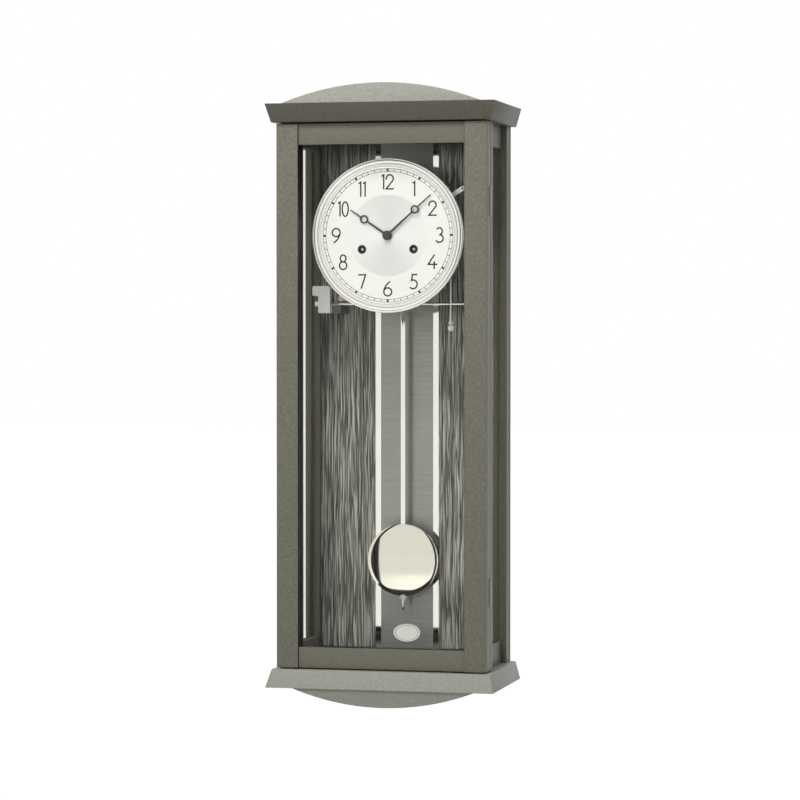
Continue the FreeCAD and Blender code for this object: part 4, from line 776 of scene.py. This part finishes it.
# Bezel of stepped rings: radius and height above the dial, in mm, from the inside out
RING_SEGMENTS = 200
ring_line = [(74.5, 0.0), (74.5, 1.6), (75.2, 2.1), (76.9, 2.2), (77.3, 1.7), (77.6, 1.2),
             (78.1, 1.15), (78.5, 1.6), (79.2, 2.6), (80.4, 3.5), (81.6, 3.95), (82.6, 3.9),
             (83.1, 3.5), (83.4, 3.0), (83.8, 2.9), (84.4, 3.1), (85.1, 2.8), (85.5, 2.2),
             (85.6, 1.4)]
bezel_scale = bezel_radius / ring_line[-1][0]
skirt_inside = 83.75 * MM
profile = [(r * bezel_scale, dial_front - h * MM) for r, h in ring_line]
profile += [(bezel_radius, bezel_back), (skirt_inside, bezel_back), (skirt_inside, dial_front)]
bezel_mesh = lathe(profile, (dial_x, dial_z), RING_SEGMENTS)
smooth(bezel_mesh, 50)
piece_from_mesh("bezel_rings", bezel_mesh, finishes["bezel"], "case", ["dial_bezel"])

# Printing on the dial
numerals = chapter_numerals(radius=58.8 * MM, height=16.0 * MM, half_width=0.8 * MM, lift=0.1 * MM)
piece_from_mesh("chapter_numerals", numerals, dial_ink, "case")
mark_maker = marks_tree()
mark_radius = 72.1 * MM
for label, count, size in (("minute_marks", 60, (0.6, 2.6, 0.16)),
                           ("five_minute_marks", 12, (2.2, 3.2, 0.2))):
    mesh = grown(mark_maker, Count=count, Radius=mark_radius, Size=[s * MM for s in size],
                 Place=(dial_x, dial_front, dial_z), Finish=dial_ink)
    piece_from_mesh(label, mesh, dial_ink, "case")
half_line, line_lift = 0.22, 0.09
for label, radius in (("minute_track_outer", 73.6), ("minute_track_inner", 70.6)):
    line = [(radius - half_line, 0.0), (radius + half_line, 0.0),
            (radius + half_line, line_lift), (radius - half_line, line_lift)]
    mesh = lathe([(r * MM, dial_front - h * MM) for r, h in line], (dial_x, dial_z), RING_SEGMENTS)
    piece_from_mesh(label, mesh, dial_ink, "case")

# Pendulum bob: a polished lens that rounds off more tightly to its edge, with a dull back
shoulder, shoulder_drop, edge_round = 35.7 * MM, 4.07 * MM, 14.0 * MM
dome_steps, edge_steps, bob_segments = 28, 16, 128
dome_round = (shoulder ** 2 + shoulder_drop ** 2) / (2 * shoulder_drop)
lean = math.asin(shoulder / dome_round)
edge_middle = shoulder - edge_round * math.sin(lean)
rim_lean = math.asin((bob_radius - edge_middle) / edge_round)
lens = []
for i in range(dome_steps + 1):
    turn = lean * i / dome_steps
    lens.append((dome_round * math.sin(turn), bob_half - dome_round * (1 - math.cos(turn))))
for i in range(1, edge_steps + 1):
    turn = lean + (rim_lean - lean) * i / edge_steps
    lens.append((edge_middle + edge_round * math.sin(turn),
                 bob_half - shoulder_drop - edge_round * (math.cos(lean) - math.cos(turn))))
bob_line = [(r, bob_y - h) for r, h in lens] + [(r, bob_y + h) for r, h in reversed(lens)]
bob_mesh = lathe(bob_line, (bob_x, bob_z), bob_segments)
smooth(bob_mesh, 40)
bob_nickel = polished("bob_nickel", NICKEL, rough=0.02, dull_behind=bob_y + 1.0 * MM)
piece_from_mesh("bob_lens", bob_mesh, bob_nickel, "pendulum", ["pendulum_bob"])


# Stage: floor, world, lamps and camera
def seen_rays(graph):
    """1 for rays that show the backdrop, to the eye or in metal and glass, and 0 for light."""
    eye, gloss, through = [graph.add("ShaderNodeLightPath", None, ray) for ray in
                           ("Is Camera Ray", "Is Glossy Ray", "Is Transmission Ray")]
    return graph.step("MAXIMUM", graph.step("MAXIMUM", eye, gloss), through)


floor_half, floor_height = 30.0, -1.3
floor_mesh = bpy.data.meshes.new("floor")
floor_mesh.from_pydata([(x * floor_half, y * floor_half, floor_height)
                        for x, y in ((-1, -1), (1, -1), (1, 1), (-1, 1))], [], [(0, 1, 2, 3)])
floor = bpy.data.objects.new("floor", floor_mesh)
bpy.context.scene.collection.objects.link(floor)
floor_finish, g = new_finish("pale_floor")
cloud = g.noise(g.object_point(), 2.0)
matt = g.add("ShaderNodeBsdfPrincipled",
             {"Base Color": g.mix(cloud, tone(196, 196, 195), tone(202, 202, 201)),
              "Roughness": 0.8, "Specular IOR Level": 0.1})
lift = g.add("ShaderNodeEmission", {"Strength": seen_rays(g) * 0.88})
lifted = g.add("ShaderNodeAddShader", {0: matt, 1: lift})
g.add("ShaderNodeOutputMaterial", {"Surface": lifted})
floor_mesh.materials.append(floor_finish)

WHITE = (1, 1, 1, 1)
world = bpy.data.worlds.new("studio")
world.use_nodes = True
world.node_tree.nodes.clear()
g = Graph(world.node_tree)
fill = g.add("ShaderNodeBackground", {"Color": WHITE, "Strength": 0.2})
backdrop = g.add("ShaderNodeBackground", {"Color": WHITE, "Strength": 1.0})
studio = g.add("ShaderNodeMixShader", {0: seen_rays(g), 1: fill, 2: backdrop})
g.add("ShaderNodeOutputWorld", {"Surface": studio})
bpy.context.scene.world = world


def soft_box(name, place, size, watts, colour):
    """A round lamp aimed at the middle of the clock, and not seen in reflections."""
    target = Vector((0.0, -0.08, -0.26))
    lamp = bpy.data.lights.new(name, "AREA")
    lamp.shape = "DISK"
    lamp.size = size
    lamp.energy = watts
    lamp.color = colour
    thing = bpy.data.objects.new(name, lamp)
    thing.location = place
    thing.rotation_euler = (Vector(place) - target).to_track_quat("Z", "Y").to_euler()
    thing.visible_glossy = False
    bpy.context.scene.collection.objects.link(thing)


WARM, COOL = (1.0, 0.995, 0.97), (0.98, 0.99, 1.0)
soft_box("key_light", (-0.05, -1.3, 1.15), 0.7, 26.6, WARM)
soft_box("left_front_light", (-0.42, -2.95, 0.1), 0.5, 16.7, WARM)
soft_box("right_front_light", (0.2, -3.0, 0.1), 0.8, 9.5, WARM)
soft_box("right_light", (2.2, -0.4, 0.3), 1.2, 6.8, COOL)
soft_box("left_light", (-2.2, -0.2, 0.3), 1.2, 7.5, COOL)
soft_box("back_light", (0.3, 2.6, 0.7), 1.4, 24.0, WARM)

view_down, view_left = math.radians(1.365), math.radians(13.515)
camera = bpy.data.cameras.new("camera")
camera.sensor_width = 36.0
camera.lens = 139.1
camera.clip_end = 200.0
camera_thing = bpy.data.objects.new("camera", camera)
camera_thing.location = (0.8117, -3.4250, -0.1849)
camera_thing.rotation_euler = (math.pi / 2 - view_down, 0.0, view_left)
bpy.context.scene.collection.objects.link(camera_thing)
bpy.context.scene.camera = camera_thing
bpy.context.scene.view_settings.view_transform = "Standard"
